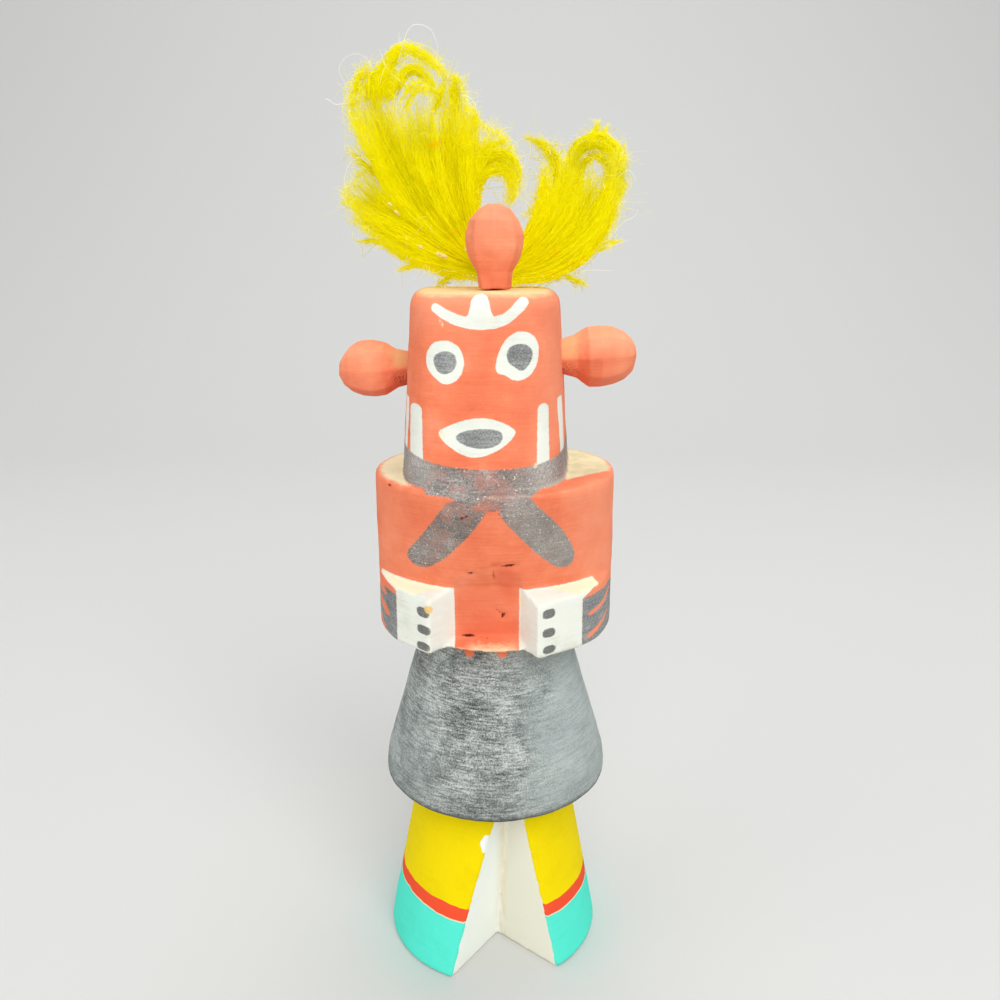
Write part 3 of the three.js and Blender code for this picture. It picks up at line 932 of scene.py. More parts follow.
def makeFigureFinish():
    material, desk, shader = newFinish("dollPaint", 0.85, 0.1)
    color, height = desk.coat("coral")
    # paler coral where the paint is thin, and painted highlight where the light falls
    color = desk.mix(desk.most(*[desk.patch(*spot) for spot in coralThinAndLit]), color, paints["coralPale"])
    white, _ = desk.coat("white")
    slate, _ = desk.coat("slate")
    kilt, kiltHeight = kiltTone(desk)
    glove = desk.over(white, "ledgeTop", paints["gloveTop"])
    dark = desk.tint(slate, [(0.5, "fingerDot", ("up", 100, 99))])
    # each layer lies over the ones before it
    for layer, paint in (("bareTop", bareTone(desk)), ("legPaint", legTone(desk)),
                         ("splitPaint", splitTone(desk)), ("kiltPaint", kilt), ("sleevePaint", slate),
                         ("whitePaint", white), ("scarfPaint", scarfTone(desk)), ("glovePaint", glove),
                         ("darkPaint", dark)):
        color = desk.over(color, layer, paint)
    color = addWearAndPaintedLight(desk, addDrop(desk, color))
    for layer, paint, strength in (("smear", "coral", 0.4), ("nick", "nick", 0.8), ("darkLines", "umber", 1.0)):
        color = desk.over(color, layer, paints[paint], strength)
    # bare underside
    color = desk.tint(color, [(1.0, "wood", ("up", 0.25, 0.1))])
    desk.feed(shader.inputs["Base Color"], color)
    height = desk.plus(height, desk.times(desk.mask("kiltPaint"), kiltHeight, 1.2))
    bumpInto(desk, shader, height, 0.35, 0.12 * mm)
    return material


figure = makeFigure()
figure.data.materials.append(makeFigureFinish())
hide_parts("carved_figure")
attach(figure, "root")
report("figure is carved and painted, %d faces" % len(figure.data.polygons))


knobLook = {
    "bevel": 0.25 * mm,
    "waver": 0.6 * mm,               # how far the knife left its facets off true
    "waverSize": 4.3 * mm,
    "reachIn": 1.6,                  # how deep an ear's neck goes into the head's side, in millimetres
    "endShare": 0.08,                # the share of an ear's reach that is set in
    "swellAt": (0, 0.13, 0.3, 0.5),  # shares of an ear's reach, and the neck's growth there
    "swell": (1.25, 1.22, 1.04, 1.0),
    "neckCentre": -2.0,
    "neckRadius": 15.2,              # where the ears' necks start, from the head's middle
    "neckUp": (132.4, 134.2),        # heights of the left and the right neck
    "stainRagged": 7.0,
    "glue": ((5.8, 2.4), (-0.8, 1.2)),
    "neckUnderSpecks": ((5.0, 1.2), (0.4, -1.8)),
}
# painted highlight on the top knob's crown, painted shade at its foot
topKnobLightAndShade = [
    (0.22, "knobCrownHighlight", ("up", 154, 162)),
    (0.5, "knobFootShade", ("up", 156, 149)),
]


def earTones(desk):
    look = knobLook
    ragged = desk.times(desk.less(desk.cloud(420.0, 4.0, 0.65), 0.5), look["stainRagged"])
    near = desk.plus(desk.less(desk.gap(desk.across, look["neckCentre"]), look["neckRadius"]), ragged)
    above = desk.less(desk.up, desk.ramp(desk.across, -5, 5, *look["neckUp"]))
    glue, neckUnderSpecks = [((near, *reach), (above, *rise)) for reach, rise in (look["glue"], look["neckUnderSpecks"])]
    specks = desk.ramp(desk.cloud(2600.0, 2.0, 0.7), 0.45, 0.58, 0.25)
    return [
        # glue yellowed on the upper side of the neck, red-brown specks beneath it
        (0.8, "glue", *glue),
        (desk.times(specks, 0.85), "neckUnderSpecks", *neckUnderSpecks),
        # upper sides rubbed pale with painted highlight, more on the right; painted shade beneath
        (desk.ramp(desk.across, -5, 5, 0.12, 0.42), "earRubbedAndLit", (above, 0.0, 4.0)),
        (0.45, "earUnderShade", (above, -1.0, -5.0)),
    ]


def makeKnobFinish(name, ear):
    material, desk, shader = newFinish(name, 0.8)
    color, height = desk.coat("knob")
    # paler on the sharp edges: rubbed paint and painted highlight
    color = desk.mix(desk.edges(0.5, 0.62, 0.0, 0.35), color, paints["knobEdgeRubAndHighlight"])
    color = desk.tint(color, earTones(desk) if ear else topKnobLightAndShade)
    desk.feed(shader.inputs["Base Color"], color)
    bumpInto(desk, shader, height, 0.25, 0.1 * mm)
    return material


def makeKnob(node, name, finish, pushed=0.0):
    piece = carvedCopy(node, name)
    roughen(piece, name + "Waver", knobLook["waverSize"], knobLook["waver"])
    if pushed:
        # the neck swells towards the head, and its end is set in
        points = meshPoints(piece)
        away = np.abs(points[:, 0] - knobLook["neckCentre"])
        share = (away - away.min()) / np.ptp(away)
        middle = points.mean(axis=0)
        swell = np.interp(share, knobLook["swellAt"], knobLook["swell"])[:, None]
        points[:, 1:] = middle[1:] + (points[:, 1:] - middle[1:]) * swell
        points[share < knobLook["endShare"], 0] += pushed
        piece.data.vertices.foreach_set("co", (points * mm).astype(np.float32).ravel())
        piece.data.update()
    applyModifier(piece, "BEVEL", width=knobLook["bevel"], segments=2, limit_method="ANGLE",
                  angle_limit=math.radians(4))
    piece.data.materials.append(finish)
    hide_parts(node)
    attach(piece, "root")


earFinish = makeKnobFinish("earPaint", True)
makeKnob("ear_left", "leftEar", earFinish, knobLook["reachIn"])
makeKnob("ear_right", "rightEar", earFinish, -knobLook["reachIn"])
makeKnob("top_knob", "topKnob", makeKnobFinish("topKnobPaint", False))
report("knobs are cut")


furLook = {
    "seed": 7,
    "rings": 10,                     # points along a hair
    "fuzzRings": 7,
    "strayRings": 40,
    "hairWidth": 0.06,               # half of a hair's thickness, in millimetres
    "middle": 5.4,                   # how far behind the face the crest stands
    "perClump": 16,
    "railSteps": 48,
    "rootsUpTo": 0.7,                # the share of a guide along which hairs start
    "tips": (0.8, 1.0),              # the shares of a guide at which clumps end
    "shortest": 0.22,
    "clumpWidth": 0.33,
    "gather": 0.65,                  # how far a clump closes towards its tip
    "clumpWave": 0.12,
    "clumpBend": 0.5,
    "lockRootsUpTo": 0.4,
    "lockTips": (0.7, 1.03),
    "frizz": 0.31,
    "wild": 0.18,                    # share of hairs that stray from their clump
    "guideFuzz": 40,                 # short hairs along each guide, and how far they reach
    "guideFuzzReach": 2.2,
    "undyed": 0.22,                  # share of the fuzz that took no dye
    "fuzzLean": 0.75,
    "fuzzCurl": 1.3,
    "fuzzDepth": 2.0,
    "strayForward": 2,
}
# A fan is a row of guide hairs across and up; the fur between them follows both
# neighbours. Every guide runs from its root to its tip.
lowFan = [
    [(-2, 150), (-9, 150), (-16, 152.4), (-21, 155.2), (-24.4, 157.6)],
    [(-2, 150.6), (-9.5, 152), (-16.5, 155), (-22, 157.6), (-27.2, 159.6)],
    [(-2, 151.2), (-10, 153.8), (-17, 157), (-22.5, 159.4), (-27, 161.6), (-30.2, 165.4)],
    [(-2, 151.6), (-10, 155), (-17, 159), (-22.5, 162), (-27, 164.2), (-31.3, 167.2)],
    [(-2.3, 151.8), (-10, 156.2), (-17, 161), (-22, 164.2), (-25.8, 167), (-28.6, 170)],
    [(-2.5, 152), (-10, 157), (-16.5, 162.4), (-21.5, 166.4), (-24.4, 169.2), (-25.8, 171.8)],
]
sideFan = [
    [(-2.5, 151.5), (-9.5, 155.8), (-16, 161), (-21.3, 166.5), (-23.8, 171.6), (-26.2, 176.6),
     (-28.8, 180)],
    [(-2.5, 152), (-10, 157), (-17, 163), (-22, 170), (-25, 176.5), (-27.4, 181), (-28.7, 184.8)],
    [(-3, 152), (-10, 157.5), (-16.5, 164.5), (-20.6, 172.5), (-23.4, 180), (-25.4, 185.8)],
    [(-3, 152.5), (-9.5, 158.5), (-15.5, 166), (-18.8, 174), (-20.6, 180.6), (-21.4, 185.8)],
]
middleFan = [
    [(-3, 152.5), (-9.5, 158.5), (-15.5, 166), (-18.6, 174), (-19.8, 180), (-20.2, 184.8)],
    [(-3, 152.5), (-8.5, 159), (-13.2, 167), (-15.6, 175), (-16.4, 184.2)],
    [(-3, 153), (-7.5, 160), (-10.8, 168), (-12.2, 176), (-12.6, 184.4)],
    [(-3, 154), (-6, 161), (-8.2, 169), (-9, 178), (-8.2, 187.4)],
    [(-3, 156), (-4.8, 163), (-5.6, 170), (-6.2, 177), (-5.9, 184.4)],
    [(-3, 157), (-4.4, 164), (-4.2, 170), (-4, 175), (-3.6, 180.6)],
]
curlFan = [
    [(-3.2, 157), (-4.4, 164), (-4, 170.4), (-3.2, 175.6), (-2.2, 180)],
    [(-3.4, 158), (-4.2, 165), (-3.6, 171), (-1.8, 176), (0.6, 178.6)],
    [(-3.6, 159), (-4.2, 166), (-3, 171.7), (-0.4, 175.2), (2.8, 176.8)],
    [(-3.8, 160), (-3.9, 167), (-2.5, 172), (0.4, 174.8), (3.3, 174.2), (5, 171.2), (5.2, 167.4)],
    [(-3.8, 160), (-3.8, 166), (-2.6, 170.4), (0.6, 172.2), (3.2, 170.8), (4.2, 168.4), (3.9, 165.6),
     (2.8, 163.8)],
    [(-3.8, 159), (-3.7, 164), (-2.6, 169.2), (0.2, 170.7), (2.1, 169.8), (2.8, 167.4), (2.5, 165),
     (1.8, 163.6)],
]
rightFan = [
    [(2, 149.8), (8, 148.7), (13.5, 150.2), (18, 153.2), (21.5, 157), (23.9, 161.5), (25.4, 166.2)],
    [(2, 150), (8, 150.4), (13.5, 152.6), (18, 156.2), (21.5, 160.6), (23.9, 166), (25.2, 171),
     (25.7, 174.2)],
    [(2, 150.5), (8, 151.9), (13.5, 155.4), (18, 160), (21, 165), (22.9, 170), (23.5, 174.8)],
]
betweenFan = [
    [(2, 150.5), (8, 151.9), (13.5, 155.4), (17.6, 160), (20.4, 164.8), (22.2, 170.6)],
    [(2, 151), (7.5, 153.5), (12.5, 158), (16.2, 163.5), (18.5, 171)],
]
gapFan = [
    [(-2.5, 152), (-10, 157), (-16.2, 162.3), (-20.4, 165.6), (-22.2, 167.4)],
    [(-2.5, 151.5), (-9.5, 156.7), (-15.9, 163), (-20.6, 168), (-22.8, 171.4)],
]
rootFan = [
    [(0, 147.7), (-3.5, 149.4), (-8, 151.2), (-12, 153.4)],
    [(0, 147.7), (-2.4, 151.5), (-4.6, 156.5)],
    [(0, 147.7), (-0.6, 151.5), (-1.4, 155)],
    [(0, 147.7), (1.6, 151.5), (3.2, 155.5)],
    [(0, 147.7), (3.5, 149.6), (7.4, 152.2)],
    [(0, 147.7), (4.5, 148.7), (9.6, 149.6)],
]
columnFan = [
    [(2, 151), (7.5, 153.5), (12.5, 158), (15.8, 163.5), (17.5, 168.4), (17.7, 173.6)],
    [(2, 151.5), (6.5, 155), (10.5, 160), (13.6, 166), (15.2, 171), (15.8, 175.6)],
    [(2, 152), (5.5, 156), (8.8, 161), (11.3, 167), (12.4, 172)],
    [(2, 152.4), (5, 157), (7.9, 162), (9.5, 167.4), (9.9, 172.4)],
]
# A lock is its path, its half widths at root, middle and tip, and its number of hairs.
topLoops = [
    ([(-21.6, 184), (-20.8, 189.4), (-19.7, 192.2), (-17.8, 193.4), (-14.4, 192.3), (-11.2, 190.2),
      (-8.8, 187.2)],
     (1.6, 0.85, 0.8), 130),
    ([(-20.2, 183), (-18.6, 187.8), (-16.5, 189.8), (-14.4, 189.3), (-12.5, 187.4), (-10.4, 184.2)],
     (1.8, 1.1, 1.3), 120),
    ([(-27.8, 182), (-27, 186.6), (-25.4, 189.8), (-24.2, 190.9)], (0.9, 0.5, 0.3), 60),
    ([(-18.6, 182), (-15.4, 186.6), (-13.2, 186), (-12.4, 183.6)], (1.5, 1.1, 1.1), 50),
    ([(-24.6, 184), (-23.2, 188.6), (-20.6, 189.6), (-18.4, 187.4)], (1.6, 1.2, 1.2), 100),
    ([(-22.8, 184), (-21.6, 189.6), (-19.4, 191.4), (-17.4, 190.2)], (1.4, 0.9, 0.8), 60),
    ([(-25, 183), (-22, 187), (-18.6, 188.8)], (2.6, 2.8, 2), 240),
    ([(-12, 181), (-9.9, 185.4), (-9.6, 188.4)], (1.4, 1.1, 0.6), 70),
    ([(-7.9, 180), (-8.4, 185.6), (-7.3, 189.2)], (1.4, 1, 0.2), 120),
]
rightLoops = [
    ([(14.9, 168), (15.9, 174.2), (18.2, 176.3), (21.2, 175.9), (23.6, 174.3), (24.8, 171),
      (25.3, 167.4)],
     (1.3, 1.1, 1.4), 210),
    ([(15.4, 165), (17.2, 171.6), (19.4, 173.8), (21.8, 173.2), (23.2, 170.4), (23.8, 166)],
     (0.9, 0.8, 1.0), 80),
    ([(14.2, 169), (14.9, 174), (17.2, 177), (20.6, 177.8), (24.2, 176), (26.4, 172.4), (26.7, 169.8)],
     (0.7, 0.6, 0.4), 60),
    ([(18.2, 174.4), (20.1, 177.2), (20.7, 180.6)], (1.3, 0.6, 0.15), 90),
    ([(11, 152.4), (12.6, 151.2), (13.6, 149.4)], (1, 0.6, 0.2), 60),
    ([(19.6, 175.2), (21.5, 177.7), (22.7, 179.8)], (0.6, 0.35, 0.15), 34),
    ([(12.4, 163), (13.1, 169.4), (12.3, 172.8), (10.4, 175.3), (7.9, 176.8), (5.5, 177.4)],
     (1.1, 0.8, 0.25), 190),
]
tufts = [
    ([(-18, 156.2), (-23.5, 157.6), (-28.9, 157.2)], (1.3, 0.8, 0.15), 60),
    ([(-12, 152.6), (-16.5, 152.4), (-20.6, 151.4)], (1.2, 0.7, 0.15), 50),
    ([(-20, 159.6), (-25, 161.2), (-29.6, 161.2)], (1.3, 0.8, 0.15), 60),
    ([(-23, 163), (-27.6, 164.4), (-31.6, 164.6)], (1.2, 0.7, 0.15), 60),
    ([(-23.5, 169), (-27, 172.4), (-30, 175.6)], (1.2, 0.7, 0.15), 50),
    ([(-8, 150.4), (-10.6, 149.2), (-12.6, 147.9)], (1, 0.6, 0.15), 40),
    ([(22.8, 163), (25.4, 166.2), (27, 169.8)], (1, 0.6, 0.15), 46),
    ([(20, 156), (23.6, 156.8), (26.4, 157.6)], (1, 0.6, 0.15), 40),
    ([(13, 151), (16.6, 149.6), (19.6, 148.2)], (1.1, 0.6, 0.15), 46),
    ([(23, 170), (25, 173.4), (26.3, 176.4)], (0.9, 0.5, 0.15), 40),
    ([(-2.5, 174), (0.6, 175.8), (3.2, 177.4)], (1.1, 0.6, 0.15), 46),
    ([(-4.8, 177), (-4, 180.2), (-4.2, 183.6)], (1, 0.6, 0.15), 40),
]
# single white hairs that have come loose
strayHairs = [
    [(-18.6, 190.5), (-17.5, 194), (-16.8, 195.7), (-15.9, 196.9), (-14.7, 197.1), (-13.5, 196.9),
     (-12.1, 196.2), (-11.5, 194.9), (-10.8, 193.2), (-11.3, 191), (-11, 189.5)],
    [(-23.4, 188.5), (-24.3, 191), (-25.9, 191.9), (-27.3, 192), (-29.3, 191), (-30.2, 189.3),
     (-29.8, 187.8), (-28.3, 186.2)],
    [(-33, 183.9), (-32.2, 183.7), (-31.3, 182.9), (-30.2, 182.9), (-28.6, 183.1)],
    [(-21, 189.4), (-21.6, 191.2), (-22.1, 192.7)],
    [(-24.6, 171.6), (-26.3, 173.2), (-27.9, 173.1), (-29.6, 171), (-30.2, 167.8), (-29.2, 165.4)],
    [(-6.4, 184.6), (-4.9, 184.3), (-3.7, 182.9), (-3.4, 181.2)],
    [(8.8, 168.6), (8, 171.2), (6.8, 171.5), (6.2, 170.2), (6.6, 168.9)],
    [(24.6, 169.4), (26.2, 171), (27.4, 170.4), (28.3, 168.6)],
    [(24, 158.6), (26, 161.2), (28.2, 161.8), (28.9, 163.4)],
    [(22.6, 156.2), (25, 156.6), (27.4, 157.6)],
    [(16.2, 151.2), (20.4, 151.6), (24.2, 151.4)],
    [(9, 165.4), (7, 166.6), (5.8, 165.6), (6.6, 164.3), (8.4, 163.4)],
]
# the lobes' rims, where short fuzz stands off
leftRim = [
    (-4.2, 149.4), (-11.5, 150.6), (-18.9, 154), (-23.3, 157.6), (-27.5, 159.6), (-26.4, 161.8),
    (-29.6, 165.2), (-31, 167), (-27.6, 168.4), (-28.2, 170.4), (-25.2, 171.6), (-24, 174.6),
    (-26.6, 177.8), (-28.9, 181), (-28.8, 186), (-26.6, 188.8), (-23.6, 190), (-20.4, 190.8),
    (-17.9, 193.2), (-14, 192), (-9.4, 188.2), (-7.2, 188.6), (-5.7, 185.4), (-4.8, 181),
    (-1.6, 179.2), (2, 177.2), (4.5, 173.8), (5.1, 170), (4.4, 166), (2.6, 164.8),
]
rightRim = [
    (5.2, 149.2), (11.6, 149.3), (16.6, 151.8), (20.6, 155.3), (23.4, 159.6), (25, 164.6), (25.2, 170),
    (25.8, 174.2), (22.6, 176.2), (18.2, 177), (15.4, 175.6), (14, 172.2), (12.2, 174.6),
    (8.6, 177.2), (11.2, 172.6), (9.4, 170), (9, 166), (7.6, 163.6), (5.8, 162.6),
]
headRim = [(-12, 149.2), (-7, 148.9), (7, 148.9), (12, 149.1)]
topRim = [(-28, 183.4), (-24, 186.4), (-20, 187.6), (-15, 186.6), (-10, 185.6)]
holeRim = [(18.2, 168.5), (18.4, 172.6), (20.2, 174.2), (22.4, 173.2), (22.9, 170.4), (22.6, 168)]
combedFans = {
    # piece: its fans, each with its number of hairs and half its depth
    "furLeftLow": [(lowFan, 1250, 2.8), (sideFan, 1450, 3.4), (gapFan, 260, 2.4)],
    "furLeftHigh": [(middleFan, 1900, 3.4), (curlFan, 920, 2.4)],
    "furRight": [(rightFan, 1080, 3.4), (betweenFan, 480, 3.4), (columnFan, 980, 3)],
    "furTop": [(rootFan, 420, 2.6)],
}
fuzzRims = [
    # rim, number of hairs, reach
    (leftRim, 1700, 3.2), (rightRim, 1150, 3.2), (headRim, 160, 1.8), (topRim, 420, 3.6),
    (holeRim, 150, 2.4),
]


def onPath(path, share):
    # the points that lie at these shares of a path's length
    reach = np.concatenate([[0], np.cumsum(np.linalg.norm(np.diff(path, axis=0), axis=1))])
    return np.stack([np.interp(share, reach / reach[-1], axis) for axis in path.T], axis=-1)


def wanderOff(share, hairs, dice, amount):
    # sideways and fore-and-aft waves of single hairs, stronger towards their tips
    phase = dice.uniform(0, 2 * math.pi, (4, hairs, 1))
    reach = amount * (0.35 + dice.exponential(0.8, hairs))[:, None] * (0.25 + share)
    reach *= np.where(dice.uniform(0, 1, hairs) < furLook["wild"], 3.6, 1.0)[:, None]
    bend = np.sin((9 + 5 * np.sin(phase[2])) * share + phase[0])
    side = reach * (bend + 0.3 * np.sin(27 * share + phase[1]))
    return side, reach * np.sin(11 * share + phase[3])


def dyeTones(clump, clumps, hairs, dice):
    return np.clip(dice.uniform(0, 1, clumps)[clump] * 0.65 + dice.uniform(0, 0.35, hairs), 0, 1)


def unit(flow):
    return flow / (np.linalg.norm(flow, axis=-1, keepdims=True) + 1e-9)


def offGuide(centre, flow, side, back):
    # hairs moved off their guide, sideways and fore and aft
    flow = unit(flow)
    across = centre[..., 0] - flow[..., 1] * side
    up = centre[..., 1] + flow[..., 0] * side
    return np.stack([across, furLook["middle"] + back, up], axis=-1)


def combFan(guides, hairs, halfDepth, dice):
    look = furLook
    steps = look["railSteps"]
    rails = np.stack([onPath(smoothPath(guide), np.linspace(0, 1, steps)) for guide in guides])
    clumps = hairs // look["perClump"]
    clump = dice.integers(0, clumps, hairs)

    def shared(low, high):
        # one number for all the hairs of a clump
        return dice.uniform(low, high, clumps)[clump][:, None]

    share = np.linspace(0, 1, look["rings"])[None, :]
    first = dice.uniform(0, look["rootsUpTo"], hairs)[:, None] ** 1.15
    last = np.clip(shared(*look["tips"]) + dice.normal(0, 0.06, hairs)[:, None], 0.35, 1.02)
    along = np.clip(first + np.maximum(last - first, look["shortest"]) * share, 0, 1)
    # a hair sits between two guides, drawn towards its clump's middle at the tip
    gather = 1 - look["gather"] * share
    place = shared(0, len(guides) - 1) + dice.normal(0, look["clumpWidth"], hairs)[:, None] * gather
    place += look["clumpWave"] * np.sin(5 * along + shared(0, 2 * math.pi))
    place = np.clip(place, 0, len(guides) - 1.001)
    row = place.astype(int)
    blend = (place - row)[..., None]
    step = along * (steps - 1.001)
    cell = step.astype(int)
    part = (step - cell)[..., None]
    near, far = [rails[guide, cell] * (1 - part) + rails[guide, cell + 1] * part
                 for guide in (row, row + 1)]
    centre = near * (1 - blend) + far * blend
    side, back = wanderOff(share, hairs, dice, look["frizz"])
    side += look["clumpBend"] * along * np.sin(6 * along + shared(0, 2 * math.pi))
    profile = halfDepth * (0.45 + 0.55 * np.sin(math.pi * np.minimum(along, 0.85)))
    back = profile * shared(-1, 1) + dice.normal(0, 0.5, hairs)[:, None] * gather + back
    lines = offGuide(centre, np.gradient(centre, axis=1), side, back)
    return lines, dyeTones(clump, clumps, hairs, dice)


def combLock(lock, dice):
    path, widths, hairs = lock
    path = smoothPath(path)
    clumps = max(3, hairs // furLook["perClump"])
    clump = dice.integers(0, clumps, hairs)
    share = np.linspace(0, 1, furLook["rings"])[None, :]
    first = dice.uniform(0, furLook["lockRootsUpTo"], hairs)
    last = np.clip(dice.uniform(*furLook["lockTips"], hairs), first + 0.3, furLook["lockTips"][1])
    along = first[:, None] + (last - first)[:, None] * share
    flow = onPath(path, along + 0.02) - onPath(path, along - 0.02)
    width = np.interp(along, (0, 0.5, 1), widths)
    turn = dice.uniform(0, 2 * math.pi, clumps)[clump][:, None] + dice.normal(0, 0.5, hairs)[:, None]
    out = np.sqrt(dice.uniform(0, 1, clumps))[clump][:, None] + dice.normal(0, 0.2, hairs)[:, None]
    side, back = wanderOff(share, hairs, dice, furLook["frizz"])
    side += width * out * np.cos(turn + 2 * along)
    back += width * out * np.sin(turn + 2 * along) * 1.3
    return offGuide(onPath(path, along), flow, side, back), dyeTones(clump, clumps, hairs, dice)


def combFuzz(rim, hairs, reach, dice):
    # short curly hairs that stand off a rim
    rim = smoothPath(rim, rounds=2)
    place = dice.uniform(0, 1, hairs)
    start = onPath(rim, place)
    flow = unit(onPath(rim, place + 0.01) - onPath(rim, place - 0.01))
    outward = np.stack([flow[:, 1], -flow[:, 0]], axis=-1)
    outward *= np.sign(((start - rim.mean(axis=0)) * outward).sum(axis=1, keepdims=True) + 1e-9)
    lean = dice.normal(0, furLook["fuzzLean"], hairs)[:, None]
    heading = (outward * np.cos(lean) + flow * np.sin(lean))[:, None]
    aside = np.stack([-heading[..., 1], heading[..., 0]], axis=-1)
    share = np.linspace(0, 1, furLook["fuzzRings"])[None, :, None]
    length = (0.5 + dice.exponential(0.45, hairs))[:, None, None] * reach * 0.6
    length = np.minimum(length, reach * 1.25)
    curl = dice.normal(0, furLook["fuzzCurl"], hairs)[:, None, None] * share
    turned = heading * np.cos(curl) + aside * np.sin(curl)
    line = start[:, None] - heading * 0.9 + turned * share * length
    deep = furLook["middle"] + dice.normal(0, furLook["fuzzDepth"], hairs)[:, None]
    deep = deep + share[..., 0] * dice.normal(0, 1.0, hairs)[:, None]
    return np.stack([line[..., 0], deep, line[..., 1]], axis=-1)


def hairMesh(name, lines, halfWidth, tones):
    # one closed, three-sided, tapered tube for each line of points
    hairs, rings, _ = lines.shape
    flow = unit(np.gradient(lines, axis=1))
    across = unit(np.cross(flow, (0.13, 0.97, 0.21)))     # any direction that no hair follows
    deep = np.cross(flow, across)
    share = np.linspace(0, 1, rings)
    size = (halfWidth[:, None] * (1 - 0.75 * share ** 2)[None, :])[..., None]
    turns = [2 * math.pi * side / 3 for side in range(3)]
    corners = [lines + size * (across * math.cos(turn) + deep * math.sin(turn)) for turn in turns]
    points = np.stack(corners, axis=2).reshape(-1, 3) * mm
    start = (np.arange(hairs) * rings * 3)[:, None]
    tips = start + (rings - 1) * 3
    ring = start[..., None, None] + (np.arange(rings - 1) * 3)[None, :, None, None]
    side = np.arange(3)[None, None, :, None]
    following = (side + 1) % 3
    quads = np.concatenate([ring + side, ring + following, ring + 3 + following, ring + 3 + side], axis=-1)
    quads = quads.reshape(-1, 4)
    caps = np.concatenate([np.hstack([start, start + 2, start + 1]), np.hstack([tips, tips + 1, tips + 2])])
    mesh = bpy.data.meshes.new(name)
    mesh.vertices.add(len(points))
    mesh.vertices.foreach_set("co", points.astype(np.float32).ravel())
    corner = np.concatenate([quads.ravel(), caps.ravel()]).astype(np.int32)
    mesh.loops.add(len(corner))
    mesh.loops.foreach_set("vertex_index", corner)
    starts = np.concatenate([np.arange(len(quads)) * 4, len(quads) * 4 + np.arange(len(caps)) * 3])
    mesh.polygons.add(len(starts))
    mesh.polygons.foreach_set("loop_start", starts.astype(np.int32))
    mesh.update(calc_edges=True)
    mesh.validate()
    mesh.shade_smooth()
    addLayer(mesh, "alongHair", np.tile(np.repeat(share, 3), hairs))
    addLayer(mesh, "hairTone", np.repeat(tones, rings * 3))
    piece = bpy.data.objects.new(name, mesh)
    scene.collection.objects.link(piece)
    return piece


def makeFurFinish():
    # hairTone runs from 0, the deepest dye, to 1; loose undyed hairs are 2
    material, desk, shader = newFinish("dyedFur", 0.7, 0.05)
    tone = desk.attribute("hairTone")
    color = desk.tint(paints["fur"], [
        (1.0, "furMiddle", (tone, 0.1, 0.5)),
        (0.5, "furRoot", (tone, 0.16, 0.05)),
        (0.5, "furPale", (tone, 0.75, 0.95)),
        (0.3, "furTip", (desk.attribute("alongHair"), 0.8, 1.0)),
        # the dye took unevenly: olive where it is thin, orange where it pooled
        (0.3, "furOlive", (desk.cloud(150.0), 0.5, 0.68)),
        (0.4, "furOrange", (desk.cloud(260.0, 2.0), 0.66, 0.74)),
        (1.0, "furUndyed", (tone, 1.1, 1.9)),
    ])
    desk.feed(shader.inputs["Base Color"], color)
    # the fur glows in its own colour: painted light standing in for light passing through the hairs
    desk.feed(shader.inputs["Emission Color"], color)
    shader.inputs["Emission Strength"].default_value = 0.3
    return material


furFinish = makeFurFinish()


def finishFur(piece):
    piece.data.materials.append(furFinish)
    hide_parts("fur_crest")
    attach(piece, "root")
    report("%s has %d hair faces" % (piece.name, len(piece.data.polygons)))


def makeFur():
    dice = np.random.default_rng(furLook["seed"])
    combed = {name: [combFan(*fan, dice) for fan in fans] for name, fans in combedFans.items()}
    combed["furTop"] += [combLock(lock, dice) for lock in topLoops + rightLoops + tufts]
    for name, parts in combed.items():
        lines = np.concatenate([line for line, _ in parts])
        tones = np.concatenate([tone for _, tone in parts])
        finishFur(hairMesh(name, lines, furLook["hairWidth"] * dice.uniform(0.7, 1.3, len(lines)), tones))
    makeFuzz(dice)
    makeStrays()


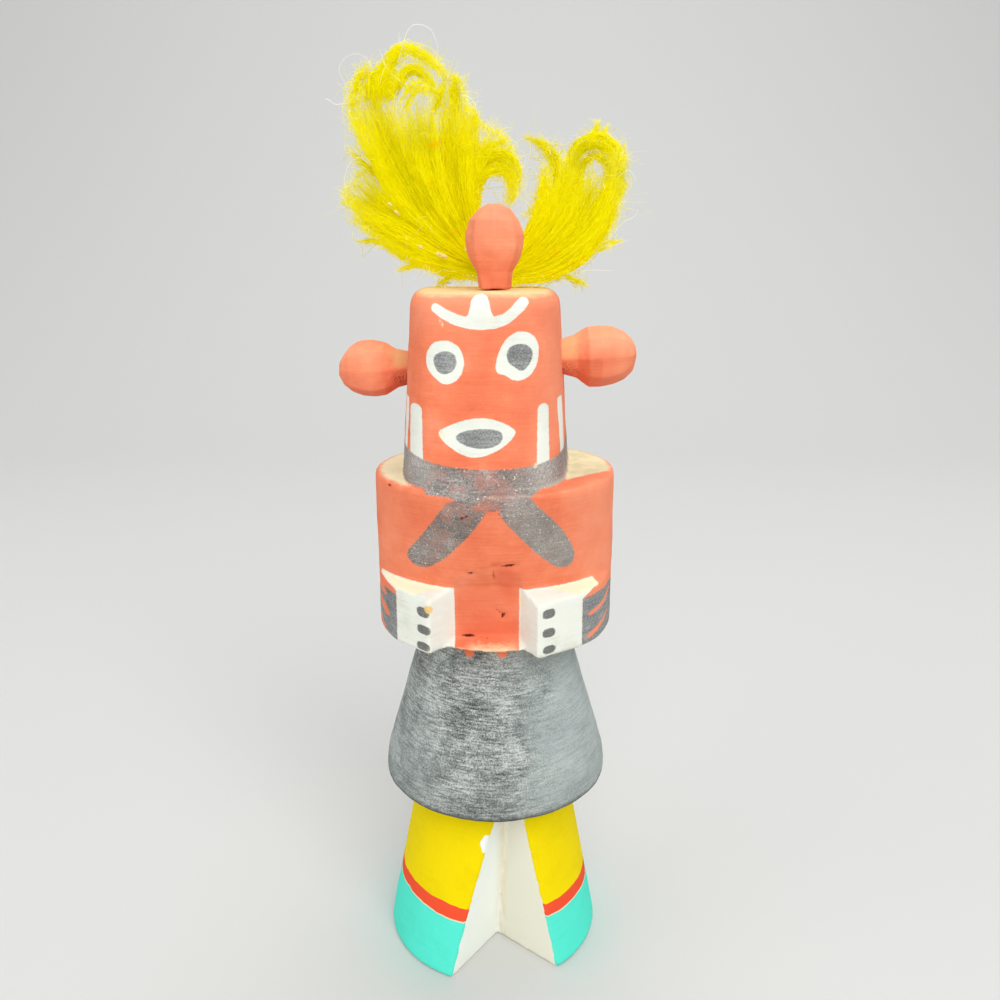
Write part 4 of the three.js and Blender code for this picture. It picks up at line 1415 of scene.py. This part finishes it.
def makeFuzz(dice):
    fuzz = [combFuzz(*rim, dice) for rim in fuzzRims]
    for fan in (lowFan, sideFan, middleFan, curlFan, rightFan, columnFan):
        fuzz += [combFuzz(guide, furLook["guideFuzz"], furLook["guideFuzzReach"], dice) for guide in fan]
    fuzz = np.concatenate(fuzz)
    undyed = dice.uniform(0, 1, len(fuzz)) < furLook["undyed"]
    tones = np.where(undyed, dice.uniform(1.1, 1.7, len(fuzz)), dice.uniform(0.3, 1, len(fuzz)))
    finishFur(hairMesh("furFuzz", fuzz, furLook["hairWidth"] * dice.uniform(0.5, 1.0, len(fuzz)), tones))


def makeStrays():
    share = np.linspace(0, 1, furLook["strayRings"])
    paths = np.stack([onPath(smoothPath(path), share) for path in strayHairs])
    deep = np.full(paths.shape[:2], furLook["middle"] - furLook["strayForward"])
    lines = np.stack([paths[..., 0], deep, paths[..., 1]], axis=-1)
    widths = np.full(len(lines), furLook["hairWidth"])
    finishFur(hairMesh("strayHairs", lines, widths, np.full(len(lines), 2.0)))


makeFur()
report("fur is combed")


flecks = [
    # across, up, half length, half height, turn
    (-10.7, 154.5, 1.25, 0.5, -24),
    (-14.9, 156.1, 0.55, 0.35, -30),
    (-19.4, 162.6, 0.75, 0.28, -42),
    (-20.8, 164.3, 0.6, 0.25, -35),
]
fleckLook = {
    "deep": 1.3 * mm,
    "halfThick": 0.3,
    "edgeSize": 0.7 * mm,
    "edgeHeight": 0.25 * mm,
}


def makeFlecks():
    parts = []
    for across, up, half, rise, turn in flecks:
        dropSelection()
        bpy.ops.mesh.primitive_ico_sphere_add(subdivisions=3, radius=mm, location=(0, 0, 0))
        fleck = bpy.context.object
        fleck.scale = (half, fleckLook["halfThick"], rise)
        fleck.rotation_euler = (0, math.radians(-turn), 0)
        fleck.location = (across * mm, fleckLook["deep"], up * mm)
        bpy.ops.object.transform_apply(location=True, rotation=True, scale=True)
        roughen(fleck, "fleckEdge", fleckLook["edgeSize"], fleckLook["edgeHeight"])
        parts.append(fleck)
    activate(parts[0])
    for part in parts:
        part.select_set(True)
    bpy.ops.object.join()
    piece = bpy.context.object
    piece.name = "skinFlecks"
    piece.data.shade_smooth()
    material, desk, shader = newFinish("drySkin", 0.6)
    grain = desk.ramp(desk.cloud(2600.0), 0.4, 0.62)
    desk.feed(shader.inputs["Base Color"], desk.mix(grain, paints["skin"], paints["skinPale"]))
    piece.data.materials.append(material)
    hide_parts("fur_crest")
    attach(piece, "root")


makeFlecks()
report("flecks are in the fur")

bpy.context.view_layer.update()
report("sizes are written")
